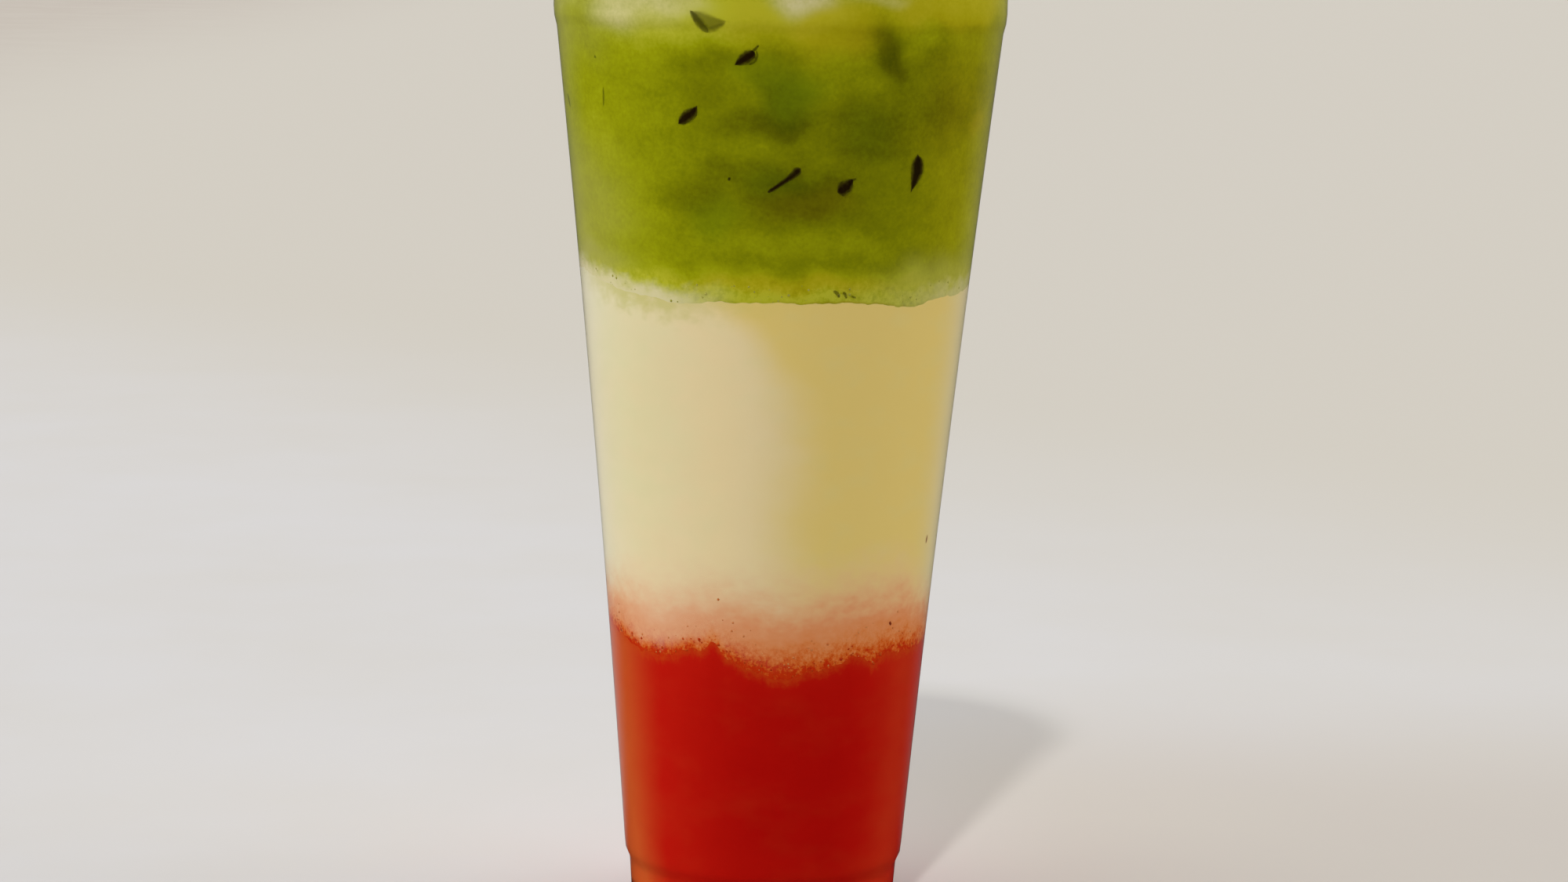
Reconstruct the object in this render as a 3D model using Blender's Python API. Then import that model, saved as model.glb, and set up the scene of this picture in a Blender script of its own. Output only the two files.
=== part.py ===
"""An iced matcha latte in a slender clear takeaway cup.

The cup stands on its foot ring with the origin at the ring's centre and +Z up. Its front faces -Y.
From the bottom up it holds a strawberry layer, a milk layer and a matcha layer, and ice cubes
float in the matcha. Sizes are in millimetres, and become metres where a mesh or a place is made.
"""

import math
import random

import bmesh
import bpy
from mathutils import Euler, Matrix, Vector

MM = 0.001
GAP = 0.3
SEGMENTS = 72

# Cup: heights above the surface it stands on, and outer radii
CUP_HEIGHT = 184.0
WALL = 0.8
CONTACT_RADIUS = 24.2
CONTACT_WIDTH = 0.8
FOOT_LOW, FOOT_LOW_RADIUS = 1.0, 24.9
FOOT_TOP, FOOT_TOP_RADIUS = 8.3, 25.35
STEP_TOP, STEP_TOP_RADIUS = 11.6, 26.42
TAPER = 0.0813
FLARE = 0.0001
SHOULDER, BAND_LOW, BAND_RADIUS = 166.8, 169.3, 42.06
RIM_RADIUS = 45.0
RIM_DEPTH = 3.2
FLOOR_LOW = 3.6
FLOOR_FILLET = 2.5

# Drink: where each layer ends, on the level part of its line
STRAWBERRY_TOP = 51.4
MILK_TOP = 119.3
DRINK_LEVEL = 173.5
MENISCUS = 0.8
MENISCUS_START = 0.96

# Swells of a layer's line along the wall: degrees from the front towards +X, rise, half-width in degrees
STRAWBERRY_SWELLS = (
    (-80, 4.2, 24),
    (-24, 3.0, 13),
    (6, -1.6, 10),
    (34, 1.9, 7),
    (52, 1.7, 9),
    (74, 1.5, 12),
    (118, 2.4, 18),
    (160, -1.2, 14),
    (205, 3.0, 20),
)
MILK_SWELLS = (
    (-78, 3.0, 22),
    (-28, -0.8, 9),
    (42, -1.3, 8),
    (95, 1.6, 16),
    (140, -1.0, 16),
    (178, 2.8, 22),
    (225, 0.8, 14),
)
STRAWBERRY_DOME = 1.5
MILK_DOME = -2.0

# Ice: five cubes round one smaller cube, partly melted, each with its own tilt, in degrees
RING_CUBES = 5
CUBE_SIDE = 21.0
MIDDLE_CUBE_SIDE = 18.5
CUBE_UNEVEN = 0.9
CUBE_ROUNDING = 3.2
CUBE_TILT = 13.0
CUBE_STRAY = 10.0
CUBE_WALL_CLEARANCE = 1.0
ICE_TOP = 178.0
ICE_TOP_SPREAD = 1.6
ICE_SEED = 12

COLOURS = {
    "clear_plastic": (0.86, 0.89, 0.88, 0.3),
    "strawberry": (0.36, 0.006, 0.004, 1.0),
    "milk": (0.72, 0.55, 0.30, 1.0),
    "matcha": (0.19, 0.20, 0.006, 1.0),
    "ice": (0.80, 0.88, 0.80, 0.5),
}


def clear_scene():
    """Removes whatever the scene holds."""
    for thing in list(bpy.data.objects):
        bpy.data.objects.remove(thing, do_unlink=True)


def make_material(name, roughness):
    """A Principled material in one of the COLOURS."""
    colour = COLOURS[name]
    material = bpy.data.materials.new(name)
    material.use_nodes = True
    shader = material.node_tree.nodes["Principled BSDF"]
    shader.inputs["Base Color"].default_value = colour
    shader.inputs["Alpha"].default_value = colour[3]
    shader.inputs["Roughness"].default_value = roughness
    shader.inputs["Metallic"].default_value = 0.0
    material.diffuse_color = colour
    return material


def link_object(name, mesh, material):
    """A new object in the scene for the mesh."""
    mesh.materials.append(material)
    thing = bpy.data.objects.new(name, mesh)
    bpy.context.scene.collection.objects.link(thing)
    return thing


def outer_radius(height):
    """The cup's outer radius at a height: foot, step, tapered wall, shoulder and stacking band."""
    stations = (
        (FOOT_LOW, FOOT_LOW_RADIUS),
        (FOOT_TOP, FOOT_TOP_RADIUS),
        (STEP_TOP, STEP_TOP_RADIUS),
        (SHOULDER, tapered_radius(SHOULDER)),
        (BAND_LOW, BAND_RADIUS),
    )
    if STEP_TOP <= height <= SHOULDER:
        return tapered_radius(height)
    if height >= BAND_LOW:
        return BAND_RADIUS
    for (low, low_radius), (high, high_radius) in zip(stations, stations[1:]):
        if height <= high:
            share = max(0.0, (height - low) / (high - low))
            return low_radius + share * (high_radius - low_radius)
    return BAND_RADIUS


def tapered_radius(height):
    """The outer radius on the tapered wall, which flares a little more towards the top."""
    rise = height - STEP_TOP
    return STEP_TOP_RADIUS + TAPER * rise + FLARE * rise * rise


def inner_radius(height, inset=0.0):
    """The radius inside the wall, or of a filling that keeps inset clear of the wall and floor."""
    radius = outer_radius(height) - WALL - inset
    fillet = FLOOR_FILLET - inset
    above_floor = height - (FLOOR_LOW + WALL + inset)
    if above_floor < fillet:
        radius -= fillet - math.sqrt(max(0.0, fillet**2 - (fillet - above_floor) ** 2))
    return radius


def fillet_heights(inset=0.0, steps=4):
    """Heights from the floor up its rounded corner, closer together near the floor."""
    fillet = FLOOR_FILLET - inset
    floor = FLOOR_LOW + WALL + inset
    turns = [math.radians(90 * step / steps) for step in range(steps + 1)]
    return [floor + fillet * (1 - math.cos(turn)) for turn in turns]


def cup_profile():
    """The wall as (radius, height) points, from the floor over the rim and down to under the foot."""
    wall_heights = [STEP_TOP + (SHOULDER - STEP_TOP) * step / 6 for step in range(7)]
    inside = [(0.0, FLOOR_LOW + WALL)]
    inside += [(inner_radius(height), height) for height in fillet_heights()]
    inside += [(inner_radius(height), height) for height in [FOOT_TOP, *wall_heights, BAND_LOW]]
    band_inside = BAND_RADIUS - WALL
    lip_inside = RIM_RADIUS - WALL
    lip_bottom = CUP_HEIGHT - RIM_DEPTH
    rim = [
        (band_inside, CUP_HEIGHT - 0.6),
        (band_inside + 0.5, CUP_HEIGHT),
        (RIM_RADIUS - 0.7, CUP_HEIGHT),
        (RIM_RADIUS, CUP_HEIGHT - 0.7),
        (RIM_RADIUS, lip_bottom + 0.3),
        (RIM_RADIUS - 0.3, lip_bottom),
        (lip_inside, lip_bottom),
        (lip_inside, CUP_HEIGHT - WALL - 0.2),
        (BAND_RADIUS, CUP_HEIGHT - WALL - 0.2),
    ]
    outside = [(outer_radius(height), height) for height in [BAND_LOW, *reversed(wall_heights)]]
    foot = [
        (FOOT_TOP_RADIUS + 0.5, (FOOT_TOP + STEP_TOP) / 2),
        (FOOT_TOP_RADIUS, FOOT_TOP),
        (FOOT_LOW_RADIUS, FOOT_LOW),
        (CONTACT_RADIUS + CONTACT_WIDTH / 2, 0.0),
        (CONTACT_RADIUS - CONTACT_WIDTH / 2, 0.0),
        (CONTACT_RADIUS - CONTACT_WIDTH / 2 - 0.1, FLOOR_LOW - 0.4),
        (CONTACT_RADIUS - CONTACT_WIDTH / 2 - 0.5, FLOOR_LOW),
        (0.0, FLOOR_LOW),
    ]
    return inside + rim + outside + foot


def make_cup(material):
    """The cup: its outline turned round the axis."""
    points = [(radius * MM, 0.0, height * MM) for radius, height in cup_profile()]
    edges = [(index, index + 1) for index in range(len(points) - 1)]
    mesh = bpy.data.meshes.new("cup")
    mesh.from_pydata(points, edges, [])
    cup = link_object("cup", mesh, material)
    turn = cup.modifiers.new("turn", "SCREW")
    turn.steps = SEGMENTS
    turn.render_steps = SEGMENTS
    turn.use_merge_vertices = True
    turn.merge_threshold = 0.00001
    turn.use_smooth_shade = True
    return cup


def swell(angle, swells):
    """How far a layer's line rises above its level at an angle, in degrees from the front."""
    rise = 0.0
    for centre, height, half_width in swells:
        turn = (angle - centre + 180) % 360 - 180
        rise += height * math.exp(-((turn / half_width) ** 2))
    return rise


def strawberry_line(angle, share):
    """Height of the strawberry's top at an angle and a share of the radius."""
    return STRAWBERRY_TOP + swell(angle, STRAWBERRY_SWELLS) * share**2 + STRAWBERRY_DOME * (1 - share**2)


def milk_line(angle, share):
    """Height of the milk's top at an angle and a share of the radius."""
    return MILK_TOP + swell(angle, MILK_SWELLS) * share**2 + MILK_DOME * (1 - share**2)


def drink_surface(_angle, share):
    """Height of the drink's surface, which climbs a little where it wets the wall."""
    climb = max(0.0, (share - MENISCUS_START) / (1 - MENISCUS_START))
    return DRINK_LEVEL + MENISCUS * climb**2


def floor_line(_angle, _share):
    """Height of the drink's underside over the cup's floor."""
    return FLOOR_LOW + WALL + GAP


def ring_of(bm, height_at, share):
    """Points round the cup on a surface given by height_at, at a share of the radius."""
    points = []
    for step in range(SEGMENTS):
        angle = 360 * step / SEGMENTS
        height = height_at(angle, share)
        radius = share * inner_radius(height, GAP)
        turn = math.radians(angle)
        place = Vector((radius * math.sin(turn), -radius * math.cos(turn), height))
        points.append(bm.verts.new(place * MM))
    return points


def make_layer(name, lower, upper, side_heights, shares, material):
    """A layer of the drink: its underside, its wall side and its top, each made of rings."""
    bm = bmesh.new()
    rings = [ring_of(bm, lower, share) for share in shares]
    rings += [ring_of(bm, lambda _angle, _share, level=level: level, 1.0) for level in side_heights]
    rings += [ring_of(bm, upper, share) for share in reversed(shares)]
    low_centre = bm.verts.new((0, 0, lower(0, 0) * MM))
    high_centre = bm.verts.new((0, 0, upper(0, 0) * MM))
    for step in range(SEGMENTS):
        following = (step + 1) % SEGMENTS
        bm.faces.new((low_centre, rings[0][following], rings[0][step]))
        bm.faces.new((high_centre, rings[-1][step], rings[-1][following]))
        for ring, above in zip(rings, rings[1:]):
            bm.faces.new((ring[step], ring[following], above[following], above[step]))
    mesh = bpy.data.meshes.new(name)
    bm.to_mesh(mesh)
    bm.free()
    mesh.shade_smooth()
    mesh.set_sharp_from_angle(angle=math.radians(35))
    return link_object(name, mesh, material)


def cube_mesh(name, side, seed, grow):
    """A partly melted ice cube: an uneven box with rounded edges, larger by grow on every side."""
    chance = random.Random(seed)
    bm = bmesh.new()
    bmesh.ops.create_cube(bm, size=side * MM)
    for corner in bm.verts:
        shift = Vector([chance.uniform(-CUBE_UNEVEN, CUBE_UNEVEN) for _ in range(3)])
        outwards = Vector([math.copysign(grow, part) for part in corner.co])
        corner.co += (shift + outwards) * MM
    bmesh.ops.bevel(
        bm,
        geom=bm.edges[:],
        offset=(CUBE_ROUNDING + grow / 2) * MM,
        segments=3,
        profile=0.5,
        affect="EDGES",
    )
    bmesh.ops.triangulate(bm, faces=bm.faces[:])
    mesh = bpy.data.meshes.new(name)
    bm.to_mesh(mesh)
    bm.free()
    mesh.shade_smooth()
    return mesh


def furthest_out(mesh, turned, way):
    """How far the turned mesh reaches along the direction way, in millimetres."""
    return max((turned @ vertex.co).dot(way) for vertex in mesh.vertices) / MM


def cube_places():
    """Side length, turned matrix and place of each floating cube."""
    chance = random.Random(ICE_SEED)
    places = []
    for index in range(RING_CUBES + 1):
        in_middle = index == RING_CUBES
        side = MIDDLE_CUBE_SIDE if in_middle else CUBE_SIDE + chance.uniform(-1.2, 0.8)
        heading = math.radians(360 / RING_CUBES * index + chance.uniform(-CUBE_STRAY, CUBE_STRAY))
        tilts = [math.radians(chance.uniform(-CUBE_TILT, CUBE_TILT)) for _ in range(3)]
        turned = Euler((tilts[0], tilts[1], heading + tilts[2])).to_matrix()
        mesh = cube_mesh("measure", side, index, 0.0)
        outwards = Vector((math.cos(heading), math.sin(heading), 0))
        corner_reach = furthest_out(mesh, turned, outwards)
        top = ICE_TOP - chance.uniform(0, ICE_TOP_SPREAD)
        height = top - furthest_out(mesh, turned, Vector((0, 0, 1)))
        room = math.sqrt((inner_radius(height - side / 2) - CUBE_WALL_CLEARANCE) ** 2 - (side * 0.42) ** 2)
        distance = 0.0 if in_middle else room - corner_reach
        bpy.data.meshes.remove(mesh)
        places.append((side, turned, outwards * distance + Vector((0, 0, height))))
    return places


def make_ice(ice_material, cutter_material):
    """The floating cubes, and the slightly larger shapes that make room for them in the matcha."""
    recesses = bpy.data.collections.new("ice_recesses")
    bpy.context.scene.collection.children.link(recesses)
    cubes = []
    for index, (side, turned, place) in enumerate(cube_places()):
        where = Matrix.Translation(place * MM) @ turned.to_4x4()
        name = f"ice_{index + 1}"
        cube = link_object(name, cube_mesh(name, side, index, 0.0), ice_material)
        cube.matrix_world = where
        cubes.append(cube)
        cutter = link_object(name + "_room", cube_mesh(name + "_room", side, index, GAP), cutter_material)
        cutter.matrix_world = where
        cutter.hide_render = True
        cutter.display_type = "WIRE"
        bpy.context.scene.collection.objects.unlink(cutter)
        recesses.objects.link(cutter)
    return cubes, recesses


def lowered(line):
    """The same line half a gap lower, for the top of the layer under it."""
    return lambda angle, share: line(angle, share) - GAP / 2


def raised(line):
    """The same line half a gap higher, for the underside of the layer over it."""
    return lambda angle, share: line(angle, share) + GAP / 2


def main():
    clear_scene()
    make_cup(make_material("clear_plastic", 0.08))
    coarse = (0.4, 0.8, 1.0)
    corner = fillet_heights(GAP)[1:]
    make_layer(
        "strawberry_layer",
        floor_line,
        lowered(strawberry_line),
        [*corner, FOOT_TOP, STEP_TOP, 32.0],
        coarse,
        make_material("strawberry", 0.35),
    )
    make_layer(
        "milk_layer",
        raised(strawberry_line),
        lowered(milk_line),
        [62.0, 90.0, 112.0],
        coarse,
        make_material("milk", 0.35),
    )
    matcha_material = make_material("matcha", 0.35)
    matcha = make_layer(
        "matcha_layer",
        raised(milk_line),
        drink_surface,
        [128.0, 148.0, SHOULDER, BAND_LOW],
        (0.4, 0.8, MENISCUS_START, 1.0),
        matcha_material,
    )
    _cubes, recesses = make_ice(make_material("ice", 0.1), matcha_material)
    room = matcha.modifiers.new("room_for_ice", "BOOLEAN")
    room.operation = "DIFFERENCE"
    room.operand_type = "COLLECTION"
    room.collection = recesses
    room.solver = "EXACT"


main()
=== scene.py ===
# %% [markdown]
# # An iced matcha latte in three layers
#
# This notebook dresses a tall clear takeaway cup that holds three layers of drink: red strawberry
# puree, milk and matcha, with ice in the matcha. The solids are already made. Here each of them gets
# the surface, the colour and the small detail that the real drink shows through its cup.
#
# The first cell loads the solids. Their box is kept, because nothing made here may grow out of it.
# Their box is kept, and the cup's rim is measured from it.

# %% Load the solids
import math
import random

import bmesh
import bpy
import numpy as np
from mathutils import Matrix, Vector, kdtree, noise


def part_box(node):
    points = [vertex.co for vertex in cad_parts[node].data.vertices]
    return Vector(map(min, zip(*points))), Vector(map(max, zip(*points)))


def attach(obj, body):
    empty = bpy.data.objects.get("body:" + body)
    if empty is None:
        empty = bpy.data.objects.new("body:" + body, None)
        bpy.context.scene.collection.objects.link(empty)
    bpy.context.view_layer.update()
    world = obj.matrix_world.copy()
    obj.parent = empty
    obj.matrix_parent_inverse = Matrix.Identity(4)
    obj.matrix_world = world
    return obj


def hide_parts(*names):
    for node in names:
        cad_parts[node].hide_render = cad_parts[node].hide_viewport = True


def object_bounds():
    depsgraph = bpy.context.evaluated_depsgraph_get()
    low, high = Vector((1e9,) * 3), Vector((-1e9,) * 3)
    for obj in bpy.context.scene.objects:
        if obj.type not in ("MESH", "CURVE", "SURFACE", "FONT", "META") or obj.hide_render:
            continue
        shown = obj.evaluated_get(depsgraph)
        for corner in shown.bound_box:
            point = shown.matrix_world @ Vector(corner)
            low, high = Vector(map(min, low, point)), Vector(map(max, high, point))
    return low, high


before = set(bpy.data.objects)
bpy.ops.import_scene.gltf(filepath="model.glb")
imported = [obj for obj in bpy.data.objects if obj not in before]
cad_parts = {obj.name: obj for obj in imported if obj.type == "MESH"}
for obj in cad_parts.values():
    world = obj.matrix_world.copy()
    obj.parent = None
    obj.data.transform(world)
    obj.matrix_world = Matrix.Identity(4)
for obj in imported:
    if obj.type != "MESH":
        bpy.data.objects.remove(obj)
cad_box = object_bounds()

MM = 0.001
BODY = "root"
print("solids:", sorted(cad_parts))

# %% [markdown]
# ## The camera first
#
# A picture of a drink is judged from one place, so the camera comes before any surface. The photograph
# looks down about eight degrees from arm's length, with the camera turned a little, and it cuts off the
# rim and the foot. A camera is a place, a direction and a roll: two unit vectors give its right and its
# up, and their cross product is where its back points.

# %% Place the camera
CAMERA_DISTANCE = 0.7
CAMERA_PITCH = math.radians(8.3)
CAMERA_ROLL = math.radians(1.244)
CAMERA_TARGET = Vector((2.38, 0.0, 89.3)) * MM
CAMERA_LENS = 85.13


def place_camera():
    """A camera that looks at the target from the front, pitched down and rolled."""
    forward = Vector((0, math.cos(CAMERA_PITCH), -math.sin(CAMERA_PITCH)))
    level = Vector((1, 0, 0))
    upright = level.cross(forward)
    right = level * math.cos(CAMERA_ROLL) + upright * math.sin(CAMERA_ROLL)
    up = upright * math.cos(CAMERA_ROLL) - level * math.sin(CAMERA_ROLL)
    camera = bpy.data.objects.new("camera", bpy.data.cameras.new("camera"))
    bpy.context.scene.collection.objects.link(camera)
    turned = Matrix((right, up, -forward)).transposed().to_4x4()
    camera.matrix_world = Matrix.Translation(CAMERA_TARGET - forward * CAMERA_DISTANCE) @ turned
    camera.data.lens = CAMERA_LENS
    camera.data.sensor_width = 36.0
    camera.data.clip_start = 0.01
    bpy.context.scene.camera = camera
    return camera


camera = place_camera()
print("camera at", [round(value, 3) for value in camera.matrix_world.translation])

# %% [markdown]
# ## Reading sizes off the solids
#
# The looks have to sit exactly where the solids are, so the wall's radii and the layers' lines are measured
# from their points. Only the heights where the cup's outline turns and a few sizes of its foot and lip are
# typed in. Angles are in degrees from the front, positive towards +X. Heights and radii are in millimetres
# in every helper below.

# %% Read points and shape soft rises
def mesh_places(mesh):
    """Angle from the front, radius and height of each point of a mesh."""
    flat = np.empty(len(mesh.vertices) * 3)
    mesh.vertices.foreach_get("co", flat)
    x, y, z = flat.reshape(-1, 3).T / MM
    return np.degrees(np.arctan2(x, -y)), np.hypot(x, y), z


def eased_rise(value, low, high):
    """0 below low, 1 above high, and a smooth rise between them."""
    share = np.clip((value - low) / (high - low), 0, 1)
    return share**2 * (3 - 2 * share)


def turn_from(middle, angle):
    """How far an angle lies from a middle one, from -180 to 180 degrees."""
    return (angle - middle + 180) % 360 - 180


def bump(angle, middle, half_width):
    """A soft rise round the cup, 1 in its middle."""
    return np.exp(-((turn_from(middle, angle) / half_width) ** 2))


print("points in the cup's solid:", len(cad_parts["cup"].data.vertices))

# %% Measure the cup's wall
FOOT_TOP, STEP_TOP, SHOULDER, BAND_LOW = 8.3, 11.6, 166.8, 169.3
_, cup_radii, cup_heights = mesh_places(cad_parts["cup"].data)
cup_levels = np.round(cup_heights, 2)


def ring_radii(level):
    """The smallest and largest radius among the cup's points at a height."""
    here = cup_radii[np.abs(cup_levels - level) < 0.02]
    return here.min(), here.max()


all_levels = np.unique(cup_levels)
wall_levels = all_levels[(all_levels > STEP_TOP - 0.1) & (all_levels < SHOULDER + 0.1)]
wall_curve = np.polyfit(wall_levels, [ring_radii(level)[1] for level in wall_levels], 2)
WALL = float(np.subtract(*reversed(ring_radii(SHOULDER))))
FOOT_RADIUS = float(ring_radii(FOOT_TOP)[1])
BAND_RADIUS = float(ring_radii(BAND_LOW)[1])
print(f"wall {WALL:.2f} mm thick, foot radius {FOOT_RADIUS:.2f}, band radius {BAND_RADIUS:.2f}")

# %% Give the wall's radius at any height
FLOOR_TOP = 4.4
FLOOR_FILLET = 1.2


def outer_radius(height):
    """The cup's outer radius at a height or an array of heights, with soft shoulders."""
    height = np.asarray(height, float)
    wall = np.polyval(wall_curve, np.clip(height, STEP_TOP, SHOULDER))
    foot = FOOT_RADIUS + (wall - FOOT_RADIUS) * eased_rise(height, FOOT_TOP, STEP_TOP)
    return foot + (BAND_RADIUS - wall) * eased_rise(height, SHOULDER, BAND_LOW)


def filled_radius(height, reach):
    """The radius of a filling that reaches a little into the wall and into the floor's round corner."""
    fillet = FLOOR_FILLET + reach
    depth = np.clip(fillet - (np.asarray(height, float) - (FLOOR_TOP - reach)), 0, fillet)
    return outer_radius(height) - WALL + reach - (fillet - np.sqrt(fillet**2 - depth**2))


print("inner radius at 20, 90 and 160 mm:", np.round(filled_radius([20, 90, 160], 0.0), 2))

# %% [markdown]
# ## Small helpers for nodes
#
# Both shaders and Geometry Nodes are graphs. One helper that makes a node, sets its own properties and
# fills or links its sockets keeps each graph short enough to read from top to bottom.

# %% Node helpers
def add_node(tree, kind, inputs=None, **settings):
    """Adds a node. An input is a value, or another node's output to link."""
    made = tree.nodes.new(kind)
    for name, value in settings.items():
        setattr(made, name, value)
    for name, value in (inputs or {}).items():
        if isinstance(value, bpy.types.NodeSocket):
            tree.links.new(value, made.inputs[name])
        else:
            made.inputs[name].default_value = value
    return made


def maths(tree, operation, first, second=0.0, clamp=False):
    """The output of one Math node."""
    made = add_node(tree, "ShaderNodeMath", {0: first, 1: second}, operation=operation, use_clamp=clamp)
    return made.outputs[0]


def plus(tree, first, second, clamp=False):
    """The output of a sum."""
    return maths(tree, "ADD", first, second, clamp)


def times(tree, first, second, clamp=False):
    """The output of a product."""
    return maths(tree, "MULTIPLY", first, second, clamp)


print("node helpers ready")

# %% Colour and material helpers
def colour(red, green, blue):
    """A linear colour from display values of 0 to 255."""
    parts = [value / 255 for value in (red, green, blue)]
    return (*[part / 12.92 if part <= 0.04045 else ((part + 0.055) / 1.055) ** 2.4 for part in parts], 1.0)


def mixed(tree, share, first, second):
    """The output of a colour mix: first where share is 0, second where it is 1."""
    return add_node(tree, "ShaderNodeMix", {0: share, 6: first, 7: second}, data_type="RGBA").outputs[2]


def tinted(tree, base, mask, strength, tone):
    """A base colour moved towards a tone where a mask allows, at most by the strength."""
    return mixed(tree, times(tree, mask, strength), base, tone)


def attribute(tree, name):
    """The output of a number stored on the mesh's points."""
    return add_node(tree, "ShaderNodeAttribute", attribute_name=name).outputs["Fac"]


def smooth_range(tree, value, low, high):
    """0 below low, 1 above high, and a smooth rise between them."""
    made = add_node(
        tree,
        "ShaderNodeMapRange",
        {"Value": value, "From Min": low, "From Max": high},
        interpolation_type="SMOOTHSTEP",
    )
    return made.outputs[0]


def new_material(name):
    """A material with a Principled shader, as (material, tree, shader)."""
    material = bpy.data.materials.new(name)
    material.use_nodes = True
    return material, material.node_tree, material.node_tree.nodes["Principled BSDF"]


print("a middle grey in linear light:", np.round(colour(128, 128, 128), 3))

# %% [markdown]
# ## Two effects that several materials share
#
# A drink is never one flat colour: soft clouds drift in it, and a fine grain of froth, powder or pulp
# sits on top of them. Both are noise on Object coordinates, built once as node groups with named inputs,
# so each liquid places them with its own size and strength.

# %% Build the cloud and grain groups
def noise_group(name, detail, roughness, stretch):
    """A group that puts out noise about 0: inputs Size in millimetres and Strength."""
    tree = bpy.data.node_groups.new(name, "ShaderNodeTree")
    for socket in ("Size", "Strength"):
        tree.interface.new_socket(socket, in_out="INPUT", socket_type="NodeSocketFloat")
    tree.interface.new_socket("Value", in_out="OUTPUT", socket_type="NodeSocketFloat")
    entry = add_node(tree, "NodeGroupInput")
    place = add_node(tree, "ShaderNodeTexCoord")
    stretched = add_node(
        tree, "ShaderNodeMapping", {"Vector": place.outputs["Object"], "Scale": stretch}
    )
    scale = maths(tree, "DIVIDE", 1 / MM, entry.outputs["Size"])
    cloud = add_node(
        tree,
        "ShaderNodeTexNoise",
        {"Vector": stretched.outputs[0], "Scale": scale, "Detail": detail, "Roughness": roughness},
    )
    centred = maths(tree, "SUBTRACT", cloud.outputs["Fac"], 0.5)
    scaled = times(tree, centred, entry.outputs["Strength"])
    add_node(tree, "NodeGroupOutput", {"Value": scaled})
    return tree


drifting_clouds = noise_group("drifting_clouds", 4.0, 0.55, (1.0, 1.0, 1.6))
fine_grain = noise_group("fine_grain", 3.0, 0.7, (1.0, 1.0, 1.0))


def noise_of(tree, group, size, strength):
    """The output of a placed noise group."""
    placed = add_node(tree, "ShaderNodeGroup", node_tree=group)
    placed.inputs["Size"].default_value = size
    placed.inputs["Strength"].default_value = strength
    return placed.outputs["Value"]


print("groups:", [group.name for group in bpy.data.node_groups])

# %% [markdown]
# ## Where the layers meet
#
# The lines between the layers aren't level. Each solid already holds the large swells of its line, so
# they are read from the points where its top meets the wall, and then a finer raggedness is added: the
# puree breaks up into crumbs of pulp, while the matcha ends in soft wisps.

# %% Read each layer's line and roughen it
SEGMENTS = 360
angles = np.arange(SEGMENTS) * 360 / SEGMENTS
HALF_GAP = 0.15
REACH = 0.15
# An edge sharper than this stays crisp, so that a layer's top doesn't darken the shading of its side
SHARP = math.radians(50)


def smoothed(line, width):
    """A line with every swell narrower than the width in degrees evened out."""
    spread = np.hanning(width)
    looped = np.concatenate([line[-width:], line, line[:width]])
    return np.convolve(looped, spread / spread.sum(), "same")[width:-width]


COLUMNS = 72


def top_line(name):
    """A layer's height at the wall for each fine angle, from the highest point near it in each column."""
    angle, radius, height = mesh_places(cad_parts[name].data)
    near_wall = radius > filled_radius(height, -0.6)
    column = np.round(angle / 360 * COLUMNS).astype(int) % COLUMNS
    highest = np.zeros(COLUMNS)
    np.maximum.at(highest, column[near_wall], height[near_wall])
    rough = np.interp(angles, np.arange(COLUMNS) * 360 / COLUMNS, highest, period=360)
    return smoothed(rough + HALF_GAP, 9)


def ragged(height, seed, waves):
    """Adds (count round the cup, size) waves to a line, each at its own seeded phase."""
    chance = random.Random(seed)
    turns = np.radians(angles)
    for count, size in waves:
        height = height + size * np.sin(count * turns + chance.uniform(0, 2 * math.pi))
    return height


RED_WAVES = ((23, 0.18), (41, 0.16), (67, 0.14), (97, 0.1), (131, 0.08))
GREEN_WAVES = ((19, 0.1), (37, 0.08), (71, 0.06), (103, 0.05))
# Narrow peaks and notches of the red line: angle, rise, half-width in degrees
RED_PEAKS = ((-19, 2.2, 2.6), (42, -1.6, 2.4), (2, -0.5, 6))

red_line = ragged(top_line("strawberry_layer"), 3, RED_WAVES)
for middle, rise, half_width in RED_PEAKS:
    red_line = red_line + rise * bump(angles, middle, half_width)
green_line = ragged(top_line("milk_layer"), 8, GREEN_WAVES)
for name, line in (("red", red_line), ("green", green_line)):
    print(f"{name} line from {line.min():.1f} to {line.max():.1f} mm")

# %% [markdown]
# ## Turning a layer into a fine mesh
#
# Each layer is a body of revolution with an uneven top and underside, so it is built from rings: a few
# under it, many up its side and a few over its top, then a fan at each end. The side reaches 0.15 mm into
# the cup's wall. If it stopped short, a thin sheet of air would show as a mirror all round.

# %% Build a body from rings
def body_of_rings(name, rings, low_centre, high_centre):
    """A closed mesh from rings of (radius, height) arrays, lowest ring first."""
    turn = np.radians(angles)
    points = [(0.0, 0.0, low_centre)]
    for radius, height in rings:
        radius = np.broadcast_to(radius, turn.shape)
        height = np.broadcast_to(height, turn.shape)
        points += zip(radius * np.sin(turn), -radius * np.cos(turn), height)
    points.append((0.0, 0.0, high_centre))
    count = len(turn)
    last = len(points) - 1
    faces = []
    for step in range(count):
        follow = (step + 1) % count
        faces.append((0, 1 + follow, 1 + step))
        faces.append((last, last - count + step, last - count + follow))
        for ring in range(len(rings) - 1):
            low = 1 + ring * count
            faces.append((low + step, low + follow, low + count + follow, low + count + step))
    mesh = bpy.data.meshes.new(name)
    mesh.from_pydata((np.array(points) * MM).tolist(), [], faces)
    mesh.shade_smooth()
    mesh.set_sharp_from_angle(angle=SHARP)
    return mesh


def eased(count, strength=0.8):
    """Shares from 0 to 1 that crowd towards both ends."""
    even = np.linspace(0, 1, count)
    return even * (1 - strength) + strength * (1 - np.cos(np.pi * even)) / 2


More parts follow.
